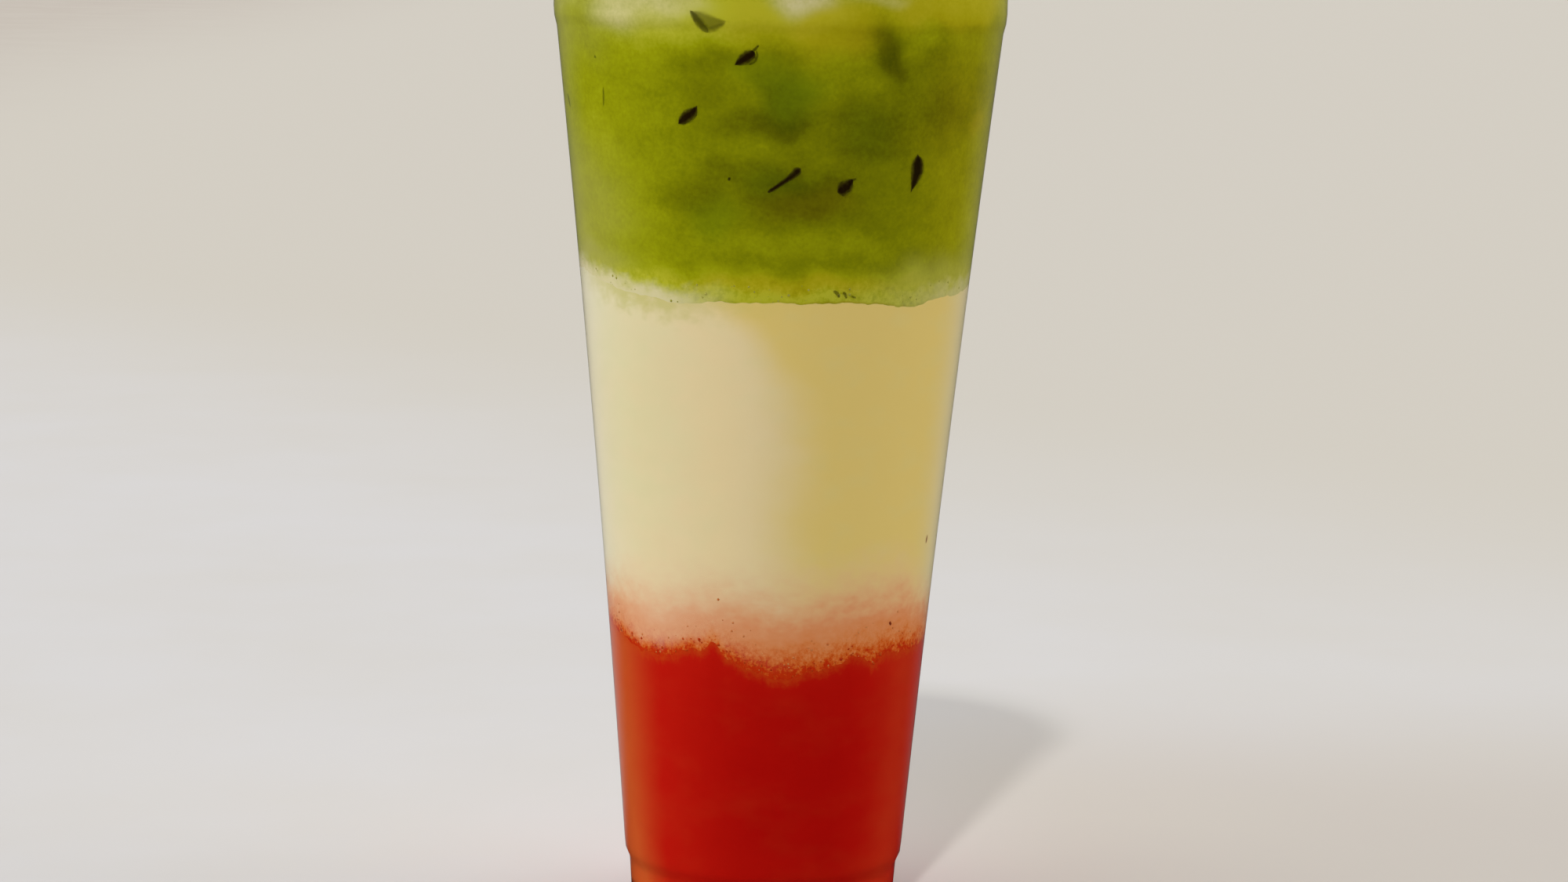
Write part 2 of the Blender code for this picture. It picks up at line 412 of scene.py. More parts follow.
def cap_rings(line, middle):
    """Rings that lead from near a layer's middle out to its line at the wall."""
    rings = []
    for share in (0.3, 0.6, 0.85, 0.97):
        height = middle + (line - middle) * share**2
        rings.append((share * filled_radius(height, REACH), height))
    return rings


def side_rings(low_line, high_line, shares):
    """Rings up the wall, at shares of the way between two lines."""
    heights = [low_line + (high_line - low_line) * share for share in shares]
    return [(filled_radius(height, REACH), height) for height in heights]


def layer_mesh(name, low_line, high_line, side_rows, low_middle, high_middle, crowd=0.8):
    """The mesh of one layer between two lines at the wall."""
    side = side_rings(low_line, high_line, eased(side_rows, crowd))
    rings = cap_rings(low_line, low_middle) + side + cap_rings(high_line, high_middle)[::-1]
    return body_of_rings(name, rings, low_middle, high_middle)


print("a layer has", SEGMENTS, "points in each ring")

# %% Helpers for pieces and masks
def add_piece(name, mesh, material, slot, *replaced):
    """A finished piece: its object rides on the part's body and stands for the solids it replaces."""
    mesh.materials.clear()
    mesh.materials.append(material)
    piece = bpy.data.objects.new(name, mesh)
    bpy.context.scene.collection.objects.link(piece)
    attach(piece, BODY)
    if replaced:
        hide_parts(*replaced)
    print(f"{name}: {len(mesh.polygons)} faces")


def store(mesh, name, values):
    """Stores one number for each point, for a material or a tree to read."""
    mesh.attributes.new(name, "FLOAT", "POINT").data.foreach_set("value", values.astype(np.float32))


def line_at(line, angle):
    """A line's height at any angles."""
    return np.interp(angle % 360, angles, line, period=360)


# Where the mask of the sides fades out behind them
SIDE_FADES = (84, 122)


def side_mask(angle, left, right, right_share):
    """A mask near the cup's two sides, each given as where it starts and where it is full: for painted side
    light and steeper froth.
    """
    turn = turn_from(0, angle)
    in_view = 1 - eased_rise(np.abs(turn), *SIDE_FADES)
    return (eased_rise(-turn, *left) + right_share * eased_rise(turn, *right)) * in_view


# The layers' heights in the middle of the cup, and how far one reaches into the next
RED_MIDDLE = 52.5
GREEN_MIDDLE = 117.4
OVERLAP = 0.05
CLIMB = 0.8
DRINK_LEVEL = float(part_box("matcha_layer")[1].z / MM) - CLIMB
print(f"the drink stands {DRINK_LEVEL:.1f} mm high")

# %% [markdown]
# ## The strawberry layer
#
# Puree is dense and nearly opaque, so through the wall it reads as one deep red. What makes it real is
# its upper edge, where pulp crumbles into the milk, and its sides, where the light that comes in round the
# cup turns the red to orange: that orange is painted light. The mesh stores three numbers at each point:
# how far it lies above the line, how much painted side light it gets, and how much painted glow brightens
# its red away from the darker middle, under the milk and near the foot. The material turns them into
# colour, and the grain pushes the border in and out.

# %% Make the strawberry layer
def matt(shader):
    """Sets a liquid's surface: it lies against the wall, so it has no gloss of its own."""
    shader.inputs["Roughness"].default_value = 0.6
    shader.inputs["Specular IOR Level"].default_value = 0.0


def strawberry_material():
    """Deep red with painted glow and orange painted side light, crumbly towards its upper edge."""
    material, tree, shader = new_material("strawberry_puree")
    clouds = noise_of(tree, drifting_clouds, 14.0, 1.6)
    body = mixed(tree, plus(tree, clouds, 0.5), colour(185, 10, 6), colour(193, 16, 8))
    # Painted glow: the red brightened away from its darker middle, under the milk and near the foot
    body = mixed(tree, attribute(tree, "glow"), body, colour(201, 24, 12))
    # Painted side light: orange at the sides, where light comes in round the cup
    painted_side_light = plus(tree, attribute(tree, "painted_side_light"), noise_of(tree, drifting_clouds, 10.0, 0.25))
    body = mixed(tree, painted_side_light, body, colour(212, 90, 38))
    crumbs = noise_of(tree, fine_grain, 1.0, 3.4)
    height = plus(tree, attribute(tree, "above_red"), crumbs)
    edge = smooth_range(tree, height, -2.2, 0.8)
    base = tinted(tree, body, edge, 0.7, colour(206, 74, 20))
    tree.links.new(base, shader.inputs["Base Color"])
    matt(shader)
    return material


floor_line = np.full(SEGMENTS, FLOOR_TOP - REACH)
strawberry_mesh = layer_mesh("strawberry", floor_line, red_line, 90, FLOOR_TOP - REACH, RED_MIDDLE, 0.6)
angle, radius, height = mesh_places(strawberry_mesh)
above_red = height - line_at(red_line, angle)
away_from_middle = eased_rise(np.abs(turn_from(12, angle)), 12, 60)
# The glow is painted light: brighter away from the darker middle, under the milk and near the foot
glow = away_from_middle + 0.7 * np.exp(above_red / 5) + 0.6 * np.exp(-(height - 5) / 7)
# A painted highlight low on the left, added to the painted side light
low_left = bump(angle, -70, 16) * np.exp(-(height - 5) / 9)
painted_side_light = side_mask(angle, (40, 72), (60, 90), 0.0) + 0.2 * bump(angle, 64, 15) + 0.6 * low_left
store(strawberry_mesh, "above_red", above_red)
store(strawberry_mesh, "painted_side_light", painted_side_light)
store(strawberry_mesh, "glow", np.clip(glow, 0, 1))
add_piece("strawberry", strawberry_mesh, strawberry_material(), "strawberry", "strawberry_layer")

# %% [markdown]
# ## The milk layer
#
# Milk is the lightest layer, and it borrows colour from both neighbours. Orange froth and pulp sit on the
# puree, then pink creeps up and is gone after about two centimetres. On the right, a yellow plume of matcha
# hangs in the milk, with a soft border that slants, and its warmer yellow also paints that side's warm
# bounce light. At the top left, green wisps sink into it. The cream itself is rosy beside the plume and a
# little greenish on the left, and painted light makes it paler near the sides and high on the left. Each of
# these is a mask stored on the points, and the clouds and the grain break up its border.

# %% Make a ramp for the froth
# From the puree's line up to plain milk: share of the way, and the tone there
FROTH_STOPS = (
    (0.0, colour(204, 52, 12)),
    (0.08, colour(222, 104, 36)),
    (0.2, colour(232, 140, 80)),
    (0.33, colour(236, 156, 104)),
    (0.5, colour(240, 184, 134)),
    (0.75, colour(242, 205, 158)),
)


def ramp(tree, value, stops):
    """The output of a colour ramp with (position, colour) stops."""
    made = add_node(tree, "ShaderNodeValToRGB", {0: value})
    elements = made.color_ramp.elements
    while len(elements) < len(stops):
        elements.new(0.5)
    for element, (position, tone) in zip(elements, stops):
        element.position = position
        element.color = tone
    return made.outputs["Color"]


print(len(FROTH_STOPS), "tones from the puree up to the milk")

# %% Mix the milk's colours
RED_REACH = 24.0


def milk_material():
    """Cream, orange froth below, a yellow plume that paints warm light on one side, painted side light,
    green wisps above.
    """
    material, tree, shader = new_material("milk")
    clouds = noise_of(tree, drifting_clouds, 16.0, 1.4)
    cream = mixed(tree, plus(tree, clouds, 0.5), colour(246, 230, 184), colour(244, 221, 174))
    cream = tinted(tree, cream, attribute(tree, "rosy"), 0.6, colour(251, 227, 172))
    # The plume's warmer yellow also paints the warm bounce light on that side
    plume = plus(tree, attribute(tree, "into_plume_and_warm_light"), noise_of(tree, drifting_clouds, 18.0, 0.6))
    body = mixed(tree, smooth_range(tree, plume, 0.0, 1.0), cream, colour(241, 214, 128))
    # Painted side light: paler cream near the sides
    body = tinted(tree, body, attribute(tree, "painted_side_light"), 0.75, colour(246, 238, 206))
    tinge = plus(tree, attribute(tree, "greenish"), noise_of(tree, drifting_clouds, 7.0, 1.6))
    body = tinted(tree, body, tinge, 0.28, colour(222, 226, 172))

    wisps = noise_of(tree, drifting_clouds, 2.6, 8.0)
    below = plus(tree, attribute(tree, "below_green"), wisps)
    sinking = times(tree, smooth_range(tree, below, 5.0, -0.5), attribute(tree, "wisp_side"))
    body = tinted(tree, body, sinking, 0.55, colour(196, 190, 78))

    above_red = attribute(tree, "above_red")
    crumbs = times(tree, noise_of(tree, fine_grain, 0.7, 11.0), smooth_range(tree, above_red, 9.0, 1.0))
    swirls = plus(tree, noise_of(tree, drifting_clouds, 6.0, 6.0), noise_of(tree, drifting_clouds, 2.4, 6.5))
    stirred = plus(tree, attribute(tree, "froth_height"), plus(tree, crumbs, swirls))
    share = maths(tree, "DIVIDE", stirred, RED_REACH, clamp=True)
    froth = ramp(tree, share, FROTH_STOPS)
    paler = times(tree, attribute(tree, "wisp_side"), smooth_range(tree, above_red, 0.6, 3.6))
    froth = tinted(tree, froth, paler, 0.36, colour(244, 210, 178))
    base = mixed(tree, smooth_range(tree, share, 1.0, 0.35), body, froth)
    bits = plus(tree, above_red, noise_of(tree, fine_grain, 1.0, 8.0))
    base = tinted(tree, base, smooth_range(tree, bits, 0.3, -1.0), 0.8, colour(196, 34, 10))
    tree.links.new(base, shader.inputs["Base Color"])
    matt(shader)
    return material


milk_look = milk_material()
print(milk_look.name, "has", len(milk_look.node_tree.nodes), "nodes")

# %% Make the milk layer
# The plume's border at a few heights: height, angle and softness
PLUME_BORDER = ((56, 9, 14), (80, 6, 17), (92, 7, 17), (104, 4, 13), (112, -4, 8), (119, -17, 8))
PLUME_END = 102

milk_mesh = layer_mesh("milk", red_line - OVERLAP, green_line, 110, RED_MIDDLE - 2 * OVERLAP, GREEN_MIDDLE)
angle, radius, height = mesh_places(milk_mesh)
levels, border, softness = zip(*PLUME_BORDER)
turn = turn_from(0, angle)
into_plume_and_warm_light = 0.5 + (turn - np.interp(height, levels, border)) / (2 * np.interp(height, levels, softness))
before_end = 0.5 + (PLUME_END - np.abs(turn)) / 40
steep = 1 + 0.3 * bump(angle, -42, 30) + 0.55 * side_mask(angle, (50, 78), (50, 78), 0.9)
# Painted light: the top of the left side paler, added to the painted side light
pale_corner = 0.35 * bump(angle, -68, 24) * eased_rise(height, 102, 118)
milk_masks = {
    "above_red": height - line_at(red_line, angle),
    "froth_height": (height - line_at(smoothed(red_line, 61), angle)) * steep,
    "below_green": line_at(green_line, angle) - height,
    "wisp_side": np.clip(bump(angle, -42, 30) + bump(angle, 180, 45), 0, 1),
    "into_plume_and_warm_light": np.clip(np.minimum(into_plume_and_warm_light, before_end), -2, 3),
    "rosy": bump(angle, -14, 16),
    "greenish": bump(angle, -48, 22) * eased_rise(height, 66, 84),
    "painted_side_light": side_mask(angle, (42, 80), (55, 85), 0.8) + pale_corner,
}
for name, mask in milk_masks.items():
    store(milk_mesh, name, mask)
add_piece("milk", milk_mesh, milk_look, "milk", "milk_layer")

# %% [markdown]
# ## The matcha layer
#
# This layer carries the most pattern. Ice cubes are sunk in it, and where one lies against the wall the
# green looks deep and dark, while the drink between them is bright: this dark and bright is painted shade
# and painted light. Milk froth runs down in pale drips from the surface. Each soft patch is a bump with a
# place and a size. They are summed into one number, the tone, which also gets painted light towards both
# sides, and into masks for gold, green, froth and painted side light. A seeded rule carries on round the
# back.

# %% Lay out the patches
# In the tone, a negative amount is painted shade and a positive one painted light
# Each patch: angle and height of its middle, half its width in degrees, half its height, lean, amount
LIGHT_AND_SHADE_PATCHES = [
    (24, 173.5, 66, 5.0, 0.0, 0.2),
    (-14, 168.4, 24, 4.4, 0.0, 0.2),
    (12, 167.0, 8, 5.0, 0.0, 0.11),
    (-40, 167.0, 12, 4.0, 0.0, 0.06),
    (38, 166.5, 5, 4.0, 0.0, 0.1),
    (29.4, 164.0, 3.6, 5.6, 0.4, -0.15),
    (16, 160.0, 11, 5.0, 0.0, 0.09),
    (-7.5, 158.0, 3.5, 4.0, 0.3, 0.06),
    (2, 155.0, 8, 5.4, 0.0, -0.1),
    (-20, 163.0, 9, 2.6, 0.3, -0.05),
    (-22, 156.5, 7, 3.0, 0.1, -0.05),
    (-36, 162.0, 10, 4.0, 0.0, 0.04),
    (46, 162.5, 12, 2.6, 0.0, -0.04),
    (57, 155.0, 15, 5.5, 0.0, -0.1),
    (-4, 151.0, 12, 2.4, 0.0, -0.09),
    (24, 149.6, 10, 6.4, -0.15, -0.09),
    (44, 150.0, 13, 5.0, 0.0, -0.06),
    (-6, 146.5, 8, 2.2, 0.0, 0.04),
    (12, 142.5, 5, 2.2, 0.0, 0.05),
    (-6, 142.4, 14, 2.6, 0.0, -0.07),
    (8, 138.2, 15, 4.2, -0.1, -0.16),
    (-24, 138.0, 9, 3.6, -0.3, -0.09),
    (-44, 134.0, 12, 6.0, 0.0, 0.02),
    (70, 131.0, 13, 7.0, 0.0, 0.04),
    (10, 129.6, 32, 2.8, 0.0, 0.09),
    (12, 120.6, 90, 4.6, 0.0, 0.2),
    (10, 120.0, 26, 1.7, 0.0, 0.1),
]
GOLD_PATCHES = [
    (14, 168.0, 11, 5.0, 0.0, 1.3),
    (48, 172.0, 24, 3.6, 0.0, 1.3),
    (-6, 169.0, 10, 5.0, 0.0, 0.6),
    (6, 122.6, 30, 1.7, 0.0, 1.0),
    (64, 150.0, 22, 30.0, 0.0, 0.45),
    (9, 137.0, 14, 3.0, 0.0, 0.3),
    (68, 150.5, 6, 2.0, 0.0, 0.6),
]
GREEN_PATCHES = [
    (4, 156.5, 8, 5.0, 0.0, 0.75),
    (-17, 134.0, 7, 4.0, 0.0, 0.5),
    (-6, 161.0, 6, 3.0, 0.0, 0.4),
    (0, 141.0, 10, 2.5, 0.0, 0.4),
    (25, 150.0, 8, 5.0, 0.0, 0.3),
]
FROTH_PATCHES = [
    (-42, 172.4, 12, 5.0, 0.0, 0.62),
    (-46, 169.0, 9, 2.0, 0.0, 0.1),
    (-25, 172.6, 8, 2.6, 0.0, 0.4),
    (6, 173.4, 6, 2.6, 0.0, 0.85),
    (24, 173.8, 8, 1.4, 0.0, 0.25),
    (-70, 172.5, 12, 2.5, 0.0, 0.15),
]
# Painted side light: pale olive places near the cup's sides
SIDE_LIGHT_PATCHES = [
    (-70, 134.0, 23, 13.0, 0.0, 0.75),
    (56, 122.5, 22, 4.6, 0.0, 0.8),
    (-70, 167.5, 19, 7.0, 0.0, 0.45),
    (-66, 124.8, 20, 3.0, 0.0, 0.8),
]
print(len(LIGHT_AND_SHADE_PATCHES), "patches of tone in front")

# %% Carry the patches round the back
BACK_START = 84
PATCHES_SPAN = 192


def patches_behind(seed, count, heights, half_widths, half_heights, amounts):
    """Patches of the same kind for the side that faces away, drawn by a seeded rule."""
    chance = random.Random(seed)
    return [
        (
            BACK_START + PATCHES_SPAN * (index + chance.random()) / count,
            chance.uniform(*heights),
            chance.uniform(*half_widths),
            chance.uniform(*half_heights),
            chance.uniform(-0.3, 0.3),
            chance.uniform(*amounts),
        )
        for index in range(count)
    ]


# Each call: seed, count, then the ranges of height, half-width, half-height and amount
LIGHT_AND_SHADE_PATCHES += patches_behind(21, 18, (132, 168), (5, 13), (3, 6), (-0.16, -0.05))
LIGHT_AND_SHADE_PATCHES += patches_behind(22, 12, (128, 170), (6, 12), (2.5, 6), (0.03, 0.09))
LIGHT_AND_SHADE_PATCHES += [(180, 173.0, 90, 4.5, 0.0, 0.15), (180, 120.5, 90, 4.0, 0.0, 0.14)]
GOLD_PATCHES += patches_behind(23, 7, (121, 172), (8, 16), (2, 5), (0.4, 0.9))
GREEN_PATCHES += patches_behind(26, 7, (130, 165), (8, 16), (4, 9), (0.3, 0.8))
FROTH_PATCHES += patches_behind(24, 6, (171, 173.5), (5, 11), (2.0, 4.5), (0.4, 0.9))
print(len(LIGHT_AND_SHADE_PATCHES), "patches of tone all round")

# %% Sum the patches
def patch_sum(angle, height, patches):
    """The patches summed at each point, their outlines bent by slow waves so that none is an oval."""
    bend = 0.9 * np.sin(height * 0.45 + angle * 0.11) + 0.7 * np.sin(height * 0.9 - angle * 0.07 + 2)
    lift = 0.5 * np.sin(angle * 0.23 + 1) + 0.5 * np.sin(angle * 0.41 + height * 0.3)
    total = np.zeros_like(height)
    for middle, level, half_width, half_height, lean, amount in patches:
        up = height + lift - level
        turn = turn_from(middle, angle + bend + lean * up * 1.4)
        total += amount * np.exp(-(((turn / half_width) ** 2 + (up / half_height) ** 2) ** 1.6))
    return total


def matcha_tone(angle, height):
    """The tone of the matcha at the wall, on the scale of the colour ramp: painted light towards both sides,
    and painted shade and light in patches.
    """
    rise = eased_rise(np.abs(turn_from(14, angle)), 12, 74)
    return 0.51 + 0.13 * rise + patch_sum(angle, height, LIGHT_AND_SHADE_PATCHES)


print("tone in the middle of the front:", matcha_tone(np.zeros(1), np.full(1, 150.0)).round(2))

# %% [markdown]
# The ice that floats is glassy, so the matcha has to have real hollows round it: through a cube one sees
# the walls of its hollow, which are paler than the drink because light scatters into them. The hollows are
# cut with slightly shrunken cubes, so the drink reaches into the ice as it reaches into the wall. The cubes
# start from the solids: a voxel remesh gives an even skin, and a little noise along the normals gives the
# dimples of melting.

# %% Melt the floating cubes
VOXEL = 0.7
DIMPLE = 0.5


def evaluated_mesh(thing):
    """The mesh that an object's modifiers make."""
    graph = bpy.context.evaluated_depsgraph_get()
    return bpy.data.meshes.new_from_object(thing.evaluated_get(graph))


def melted(name, inset, dimple):
    """A fine mesh of a solid cube: remeshed, smoothed, moved in by inset and dimpled, in millimetres."""
    rough = bmesh.new()
    rough.from_mesh(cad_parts[name].data)
    bmesh.ops.remove_doubles(rough, verts=rough.verts, dist=1e-6)
    mesh = bpy.data.meshes.new(name + "_melted")
    rough.to_mesh(mesh)
    rough.free()
    cube = bpy.data.objects.new(name + "_melted", mesh)
    bpy.context.scene.collection.objects.link(cube)
    remesh = cube.modifiers.new("even_skin", "REMESH")
    remesh.mode = "VOXEL"
    remesh.voxel_size = VOXEL * MM
    smooth = cube.modifiers.new("soften", "SMOOTH")
    smooth.iterations = 6
    fine = evaluated_mesh(cube)
    bpy.data.objects.remove(cube)
    moved = [
        vertex.co - vertex.normal * (inset + dimple * (0.5 + 0.5 * noise.noise(vertex.co * 260))) * MM
        for vertex in fine.vertices
    ]
    for vertex, place in zip(fine.vertices, moved):
        vertex.co = place
    fine.shade_smooth()
    return fine


ICE_NODES = sorted(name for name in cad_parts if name.startswith("ice_"))
cube_meshes = {name: melted(name, 0.0, DIMPLE) for name in ICE_NODES}
print({name: len(mesh.polygons) for name, mesh in cube_meshes.items()})

# %% Mix the matcha's colours
# From deep to bright: the tone, and its green
MATCHA_STOPS = (
    (0.28, colour(72, 74, 2)),
    (0.42, colour(104, 106, 3)),
    (0.55, colour(136, 140, 5)),
    (0.66, colour(163, 167, 12)),
    (0.8, colour(192, 192, 48)),
)


def matcha_material():
    """Green by a tone of painted shade and light, with golden, greener and pale places, painted side light
    and a glossy top.
    """
    material, tree, shader = new_material("matcha")
    clouds = noise_of(tree, drifting_clouds, 9.0, 0.14)
    wisps = noise_of(tree, drifting_clouds, 3.2, 0.11)
    grain = noise_of(tree, fine_grain, 0.8, 0.16)
    drift = plus(tree, plus(tree, clouds, wisps), grain)
    above = attribute(tree, "above_green")
    border = smooth_range(tree, above, 6.0, 1.5)
    speckle = times(tree, noise_of(tree, fine_grain, 1.3, 0.55), border)
    tone = plus(tree, plus(tree, attribute(tree, "tone"), drift), speckle)
    base = ramp(tree, tone, MATCHA_STOPS)

    def cloudy(name, spread):
        """A stored mask with the drift worked into it."""
        uneven = plus(tree, 1.0, times(tree, drift, spread))
        return times(tree, attribute(tree, name), uneven, clamp=True)

    gold = mixed(tree, tone, colour(150, 128, 0), colour(205, 187, 26))
    base = tinted(tree, base, cloudy("gold", 3.0), 0.55, gold)
    green = mixed(tree, tone, colour(70, 90, 0), colour(140, 166, 20))
    base = tinted(tree, base, cloudy("green", 3.0), 0.6, green)
    base = mixed(tree, cloudy("froth", 5.0), base, colour(226, 216, 160))
    streaks = plus(tree, noise_of(tree, drifting_clouds, 16.0, 2.6), noise_of(tree, fine_grain, 2.0, 0.5))
    top = mixed(tree, plus(tree, streaks, 0.5), colour(160, 164, 44), colour(220, 214, 146))
    base = mixed(tree, attribute(tree, "open_surface"), base, top)
    # Painted side light: pale olive near the sides
    base = tinted(tree, base, attribute(tree, "painted_side_light"), 0.5, colour(186, 182, 94))

    fuzz = smooth_range(tree, plus(tree, above, noise_of(tree, drifting_clouds, 4.0, 5.0)), 4.0, 0.0)
    base = tinted(tree, base, fuzz, attribute(tree, "fuzz_side"), colour(228, 218, 168))
    hem = smooth_range(tree, above, 0.5, 0.1)
    base = tinted(tree, base, hem, attribute(tree, "hem"), colour(150, 132, 22))
    tree.links.new(base, shader.inputs["Base Color"])
    matt(shader)
    tree.links.new(attribute(tree, "open_surface"), shader.inputs["Coat Weight"])
    shader.inputs["Coat Roughness"].default_value = 0.08
    return material


matcha_look = matcha_material()
print(matcha_look.name, "has", len(matcha_look.node_tree.nodes), "nodes")

# %% Cut hollows for the ice
def cut_hollows(mesh, cutters):
    """The mesh with each cutter taken out of it."""
    block = bpy.data.objects.new("block", mesh)
    tool = bpy.data.objects.new("tool", cutters)
    for thing in (block, tool):
        bpy.context.scene.collection.objects.link(thing)
    cut = block.modifiers.new("hollows", "BOOLEAN")
    cut.object = tool
    cut.operation = "DIFFERENCE"
    cut.solver = "MANIFOLD"
    carved = evaluated_mesh(block)
    for thing in (block, tool):
        bpy.data.objects.remove(thing)
    return carved


def joined(name, meshes):
    """One mesh that holds copies of several."""
    whole = bmesh.new()
    for mesh in meshes:
        whole.from_mesh(mesh)
    made = bpy.data.meshes.new(name)
    whole.to_mesh(made)
    whole.free()
    return made


def matcha_body():
    """The matcha before its hollows are cut. Its surface climbs where it wets the wall."""
    line = green_line - OVERLAP
    side = side_rings(line, DRINK_LEVEL + CLIMB - OVERLAP, np.linspace(0, 1, 105))
    rings = cap_rings(line, GREEN_MIDDLE) + side
    wall = float(filled_radius(DRINK_LEVEL, REACH))
    for step in np.concatenate([np.linspace(0.4, 3, 8), np.linspace(4.5, wall - 1, 24)]):
        rings.append((wall - step, DRINK_LEVEL + CLIMB * math.exp(-step / CLIMB)))
    return body_of_rings("matcha", rings, GREEN_MIDDLE, DRINK_LEVEL)


HOLLOW_INSET = 0.12

cutters = joined("cutters", [melted(name, HOLLOW_INSET, DIMPLE) for name in ICE_NODES])
matcha_mesh = cut_hollows(matcha_body(), cutters)
matcha_mesh.shade_smooth()
matcha_mesh.set_sharp_from_angle(angle=SHARP)
print("matcha with its hollows:", len(matcha_mesh.polygons), "faces")

# %% Make the matcha layer
HOLLOW_TONE = 0.84

angle, radius, height = mesh_places(matcha_mesh)
on_top = (height > DRINK_LEVEL - 0.4) & (radius < filled_radius(height, 0.0))
at_wall = radius > filled_radius(height, -1.5)
turn = turn_from(0, angle)
left_fuzz = eased_rise(-turn, 8, 36) * (1 - eased_rise(np.abs(turn), 110, 165))
fuzz_side = left_fuzz + 0.55 * bump(angle, 74, 30) + 0.3 * bump(angle, 180, 40)
# Painted side light near the cup's sides
side = 0.35 * side_mask(angle, (62, 84), (60, 84), 0.8)
wall_masks = {
    "gold": patch_sum(angle, height, GOLD_PATCHES),
    "green": patch_sum(angle, height, GREEN_PATCHES),
    "froth": patch_sum(angle, height, FROTH_PATCHES),
    "painted_side_light": side + patch_sum(angle, height, SIDE_LIGHT_PATCHES),
    "fuzz_side": np.clip(fuzz_side, 0, 1),
    "hem": 0.5 * bump(angle, 20, 22),
}
for name, mask in wall_masks.items():
    store(matcha_mesh, name, mask * at_wall)
store(matcha_mesh, "tone", np.where(at_wall | on_top, matcha_tone(angle, height), HOLLOW_TONE))
store(matcha_mesh, "above_green", height - line_at(green_line, angle))
store(matcha_mesh, "open_surface", on_top.astype(float))
add_piece("matcha", matcha_mesh, matcha_look, "matcha", "matcha_layer")

# %% [markdown]
# ## Ice
#
# Ice is glass with a lower refractive index and a little milkiness, so it gets a Principled shader with
# high transmission, an index of 1.31 and a slightly frosted skin. Rays that ask how much light arrives are
# let through by a Transparent shader, because otherwise every cube would cast the black shadow of a stone.
# Takeaway ice freezes from outside in, which drives the air to its core: nested thin shells, each only a
# little opaque, add up to a cloud with no edge.

# %% Make the ice cubes
def let_lamps_through(tree, shader, lamp_tint, soft_tint):
    """Mixes in a Transparent shader for rays that ask how much light arrives, from lamps or all round."""
    path = add_node(tree, "ShaderNodeLightPath")
    asks = maths(tree, "MAXIMUM", path.outputs["Is Shadow Ray"], path.outputs["Is Diffuse Ray"])
    tint = mixed(tree, path.outputs["Is Shadow Ray"], soft_tint, lamp_tint)
    clear = add_node(tree, "ShaderNodeBsdfTransparent", {"Color": tint})
    both = add_node(tree, "ShaderNodeMixShader", {0: asks, 1: shader.outputs[0], 2: clear.outputs[0]})
    tree.links.new(both.outputs[0], tree.nodes["Material Output"].inputs["Surface"])


def ice_material():
    """Wet, slightly milky ice with a dimpled skin."""
    material, tree, shader = new_material("wet_ice")
    shader.inputs["Base Color"].default_value = (0.90, 0.97, 0.78, 1)
    shader.inputs["Transmission Weight"].default_value = 0.78
    shader.inputs["IOR"].default_value = 1.31
    shader.inputs["Roughness"].default_value = 0.12
    dimples = noise_of(tree, drifting_clouds, 2.5, 1.0)
    relief = add_node(tree, "ShaderNodeBump", {"Height": dimples, "Strength": 0.25, "Distance": 0.0006})
    tree.links.new(relief.outputs[0], shader.inputs["Normal"])
    let_lamps_through(tree, shader, (0.97, 1.0, 0.95, 1), (0.99, 1.0, 0.98, 1))
    return material


wet_ice = ice_material()
for name, mesh in cube_meshes.items():
    add_piece(name.replace("ice_", "ice_cube_"), mesh, wet_ice, "ice", name)

# %% Put a cloud in each cube
# Each shell's half-width, as a share of its cube
SHELLS = (0.12, 0.18, 0.24, 0.3, 0.36)


def cloud_material():
    """One thin layer of trapped air."""
    material, tree, shader = new_material("ice_cloud")
    shader.inputs["Base Color"].default_value = (0.97, 1.0, 0.9, 1)
    shader.inputs["Roughness"].default_value = 0.8
    shader.inputs["Specular IOR Level"].default_value = 0.0
    streaks = noise_of(tree, drifting_clouds, 8.0, 0.7)
    tree.links.new(plus(tree, streaks, 0.16, clamp=True), shader.inputs["Alpha"])
    return material


def cloud_hearts():
    """Nested uneven shells in the middle of each cube, joined into one mesh."""
    whole = bmesh.new()
    for name in ICE_NODES:
        low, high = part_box(name)
        middle = (low + high) / 2
        for size in SHELLS:
            reach = (high - low) * size
            for vertex in bmesh.ops.create_icosphere(whole, subdivisions=3, radius=1.0)["verts"]:
                swell = 1 + 0.5 * noise.noise(vertex.co * 1.1 + middle * 100 + Vector((size * 5, 0, 0)))
                vertex.co = middle + Vector(part * side for part, side in zip(vertex.co * swell, reach))
    mesh = bpy.data.meshes.new("ice_clouds")
    whole.to_mesh(mesh)
    whole.free()
    mesh.shade_smooth()
    return mesh


add_piece("ice_clouds", cloud_hearts(), cloud_material(), "ice")

# %% [markdown]
# ## The cup, turned by Geometry Nodes
#
# A moulded cup is one outline turned round an axis, which is a rule and so a job for Geometry Nodes. The
# outline is written as corners with a rounding each. The tree lays a grid over (outline point, turn),
# samples the outline's points by row, swings each by its column's angle, and merges the seam.

# %% Round an outline's corners
def rounded(corners, steps=5):
    """An outline through (radius, height, rounding) corners, each rounded by a short curve."""
    points = []
    for index, (x, z, rounding) in enumerate(corners):
        here = Vector((x, z))
        if rounding == 0 or index in (0, len(corners) - 1):
            points.append(here)
            continue
        before = Vector(corners[index - 1][:2]) - here
        after = Vector(corners[index + 1][:2]) - here
        start = here + before.normalized() * min(rounding, before.length * 0.45)
        end = here + after.normalized() * min(rounding, after.length * 0.45)
        for step in range(steps + 1):
            share = step / steps
            points.append(start * (1 - share) ** 2 + here * 2 * share * (1 - share) + end * share**2)
    return points


print("points on a square corner, rounded:", len(rounded([(0, 0, 0), (1, 0, 0.3), (1, 1, 0)])) - 2)

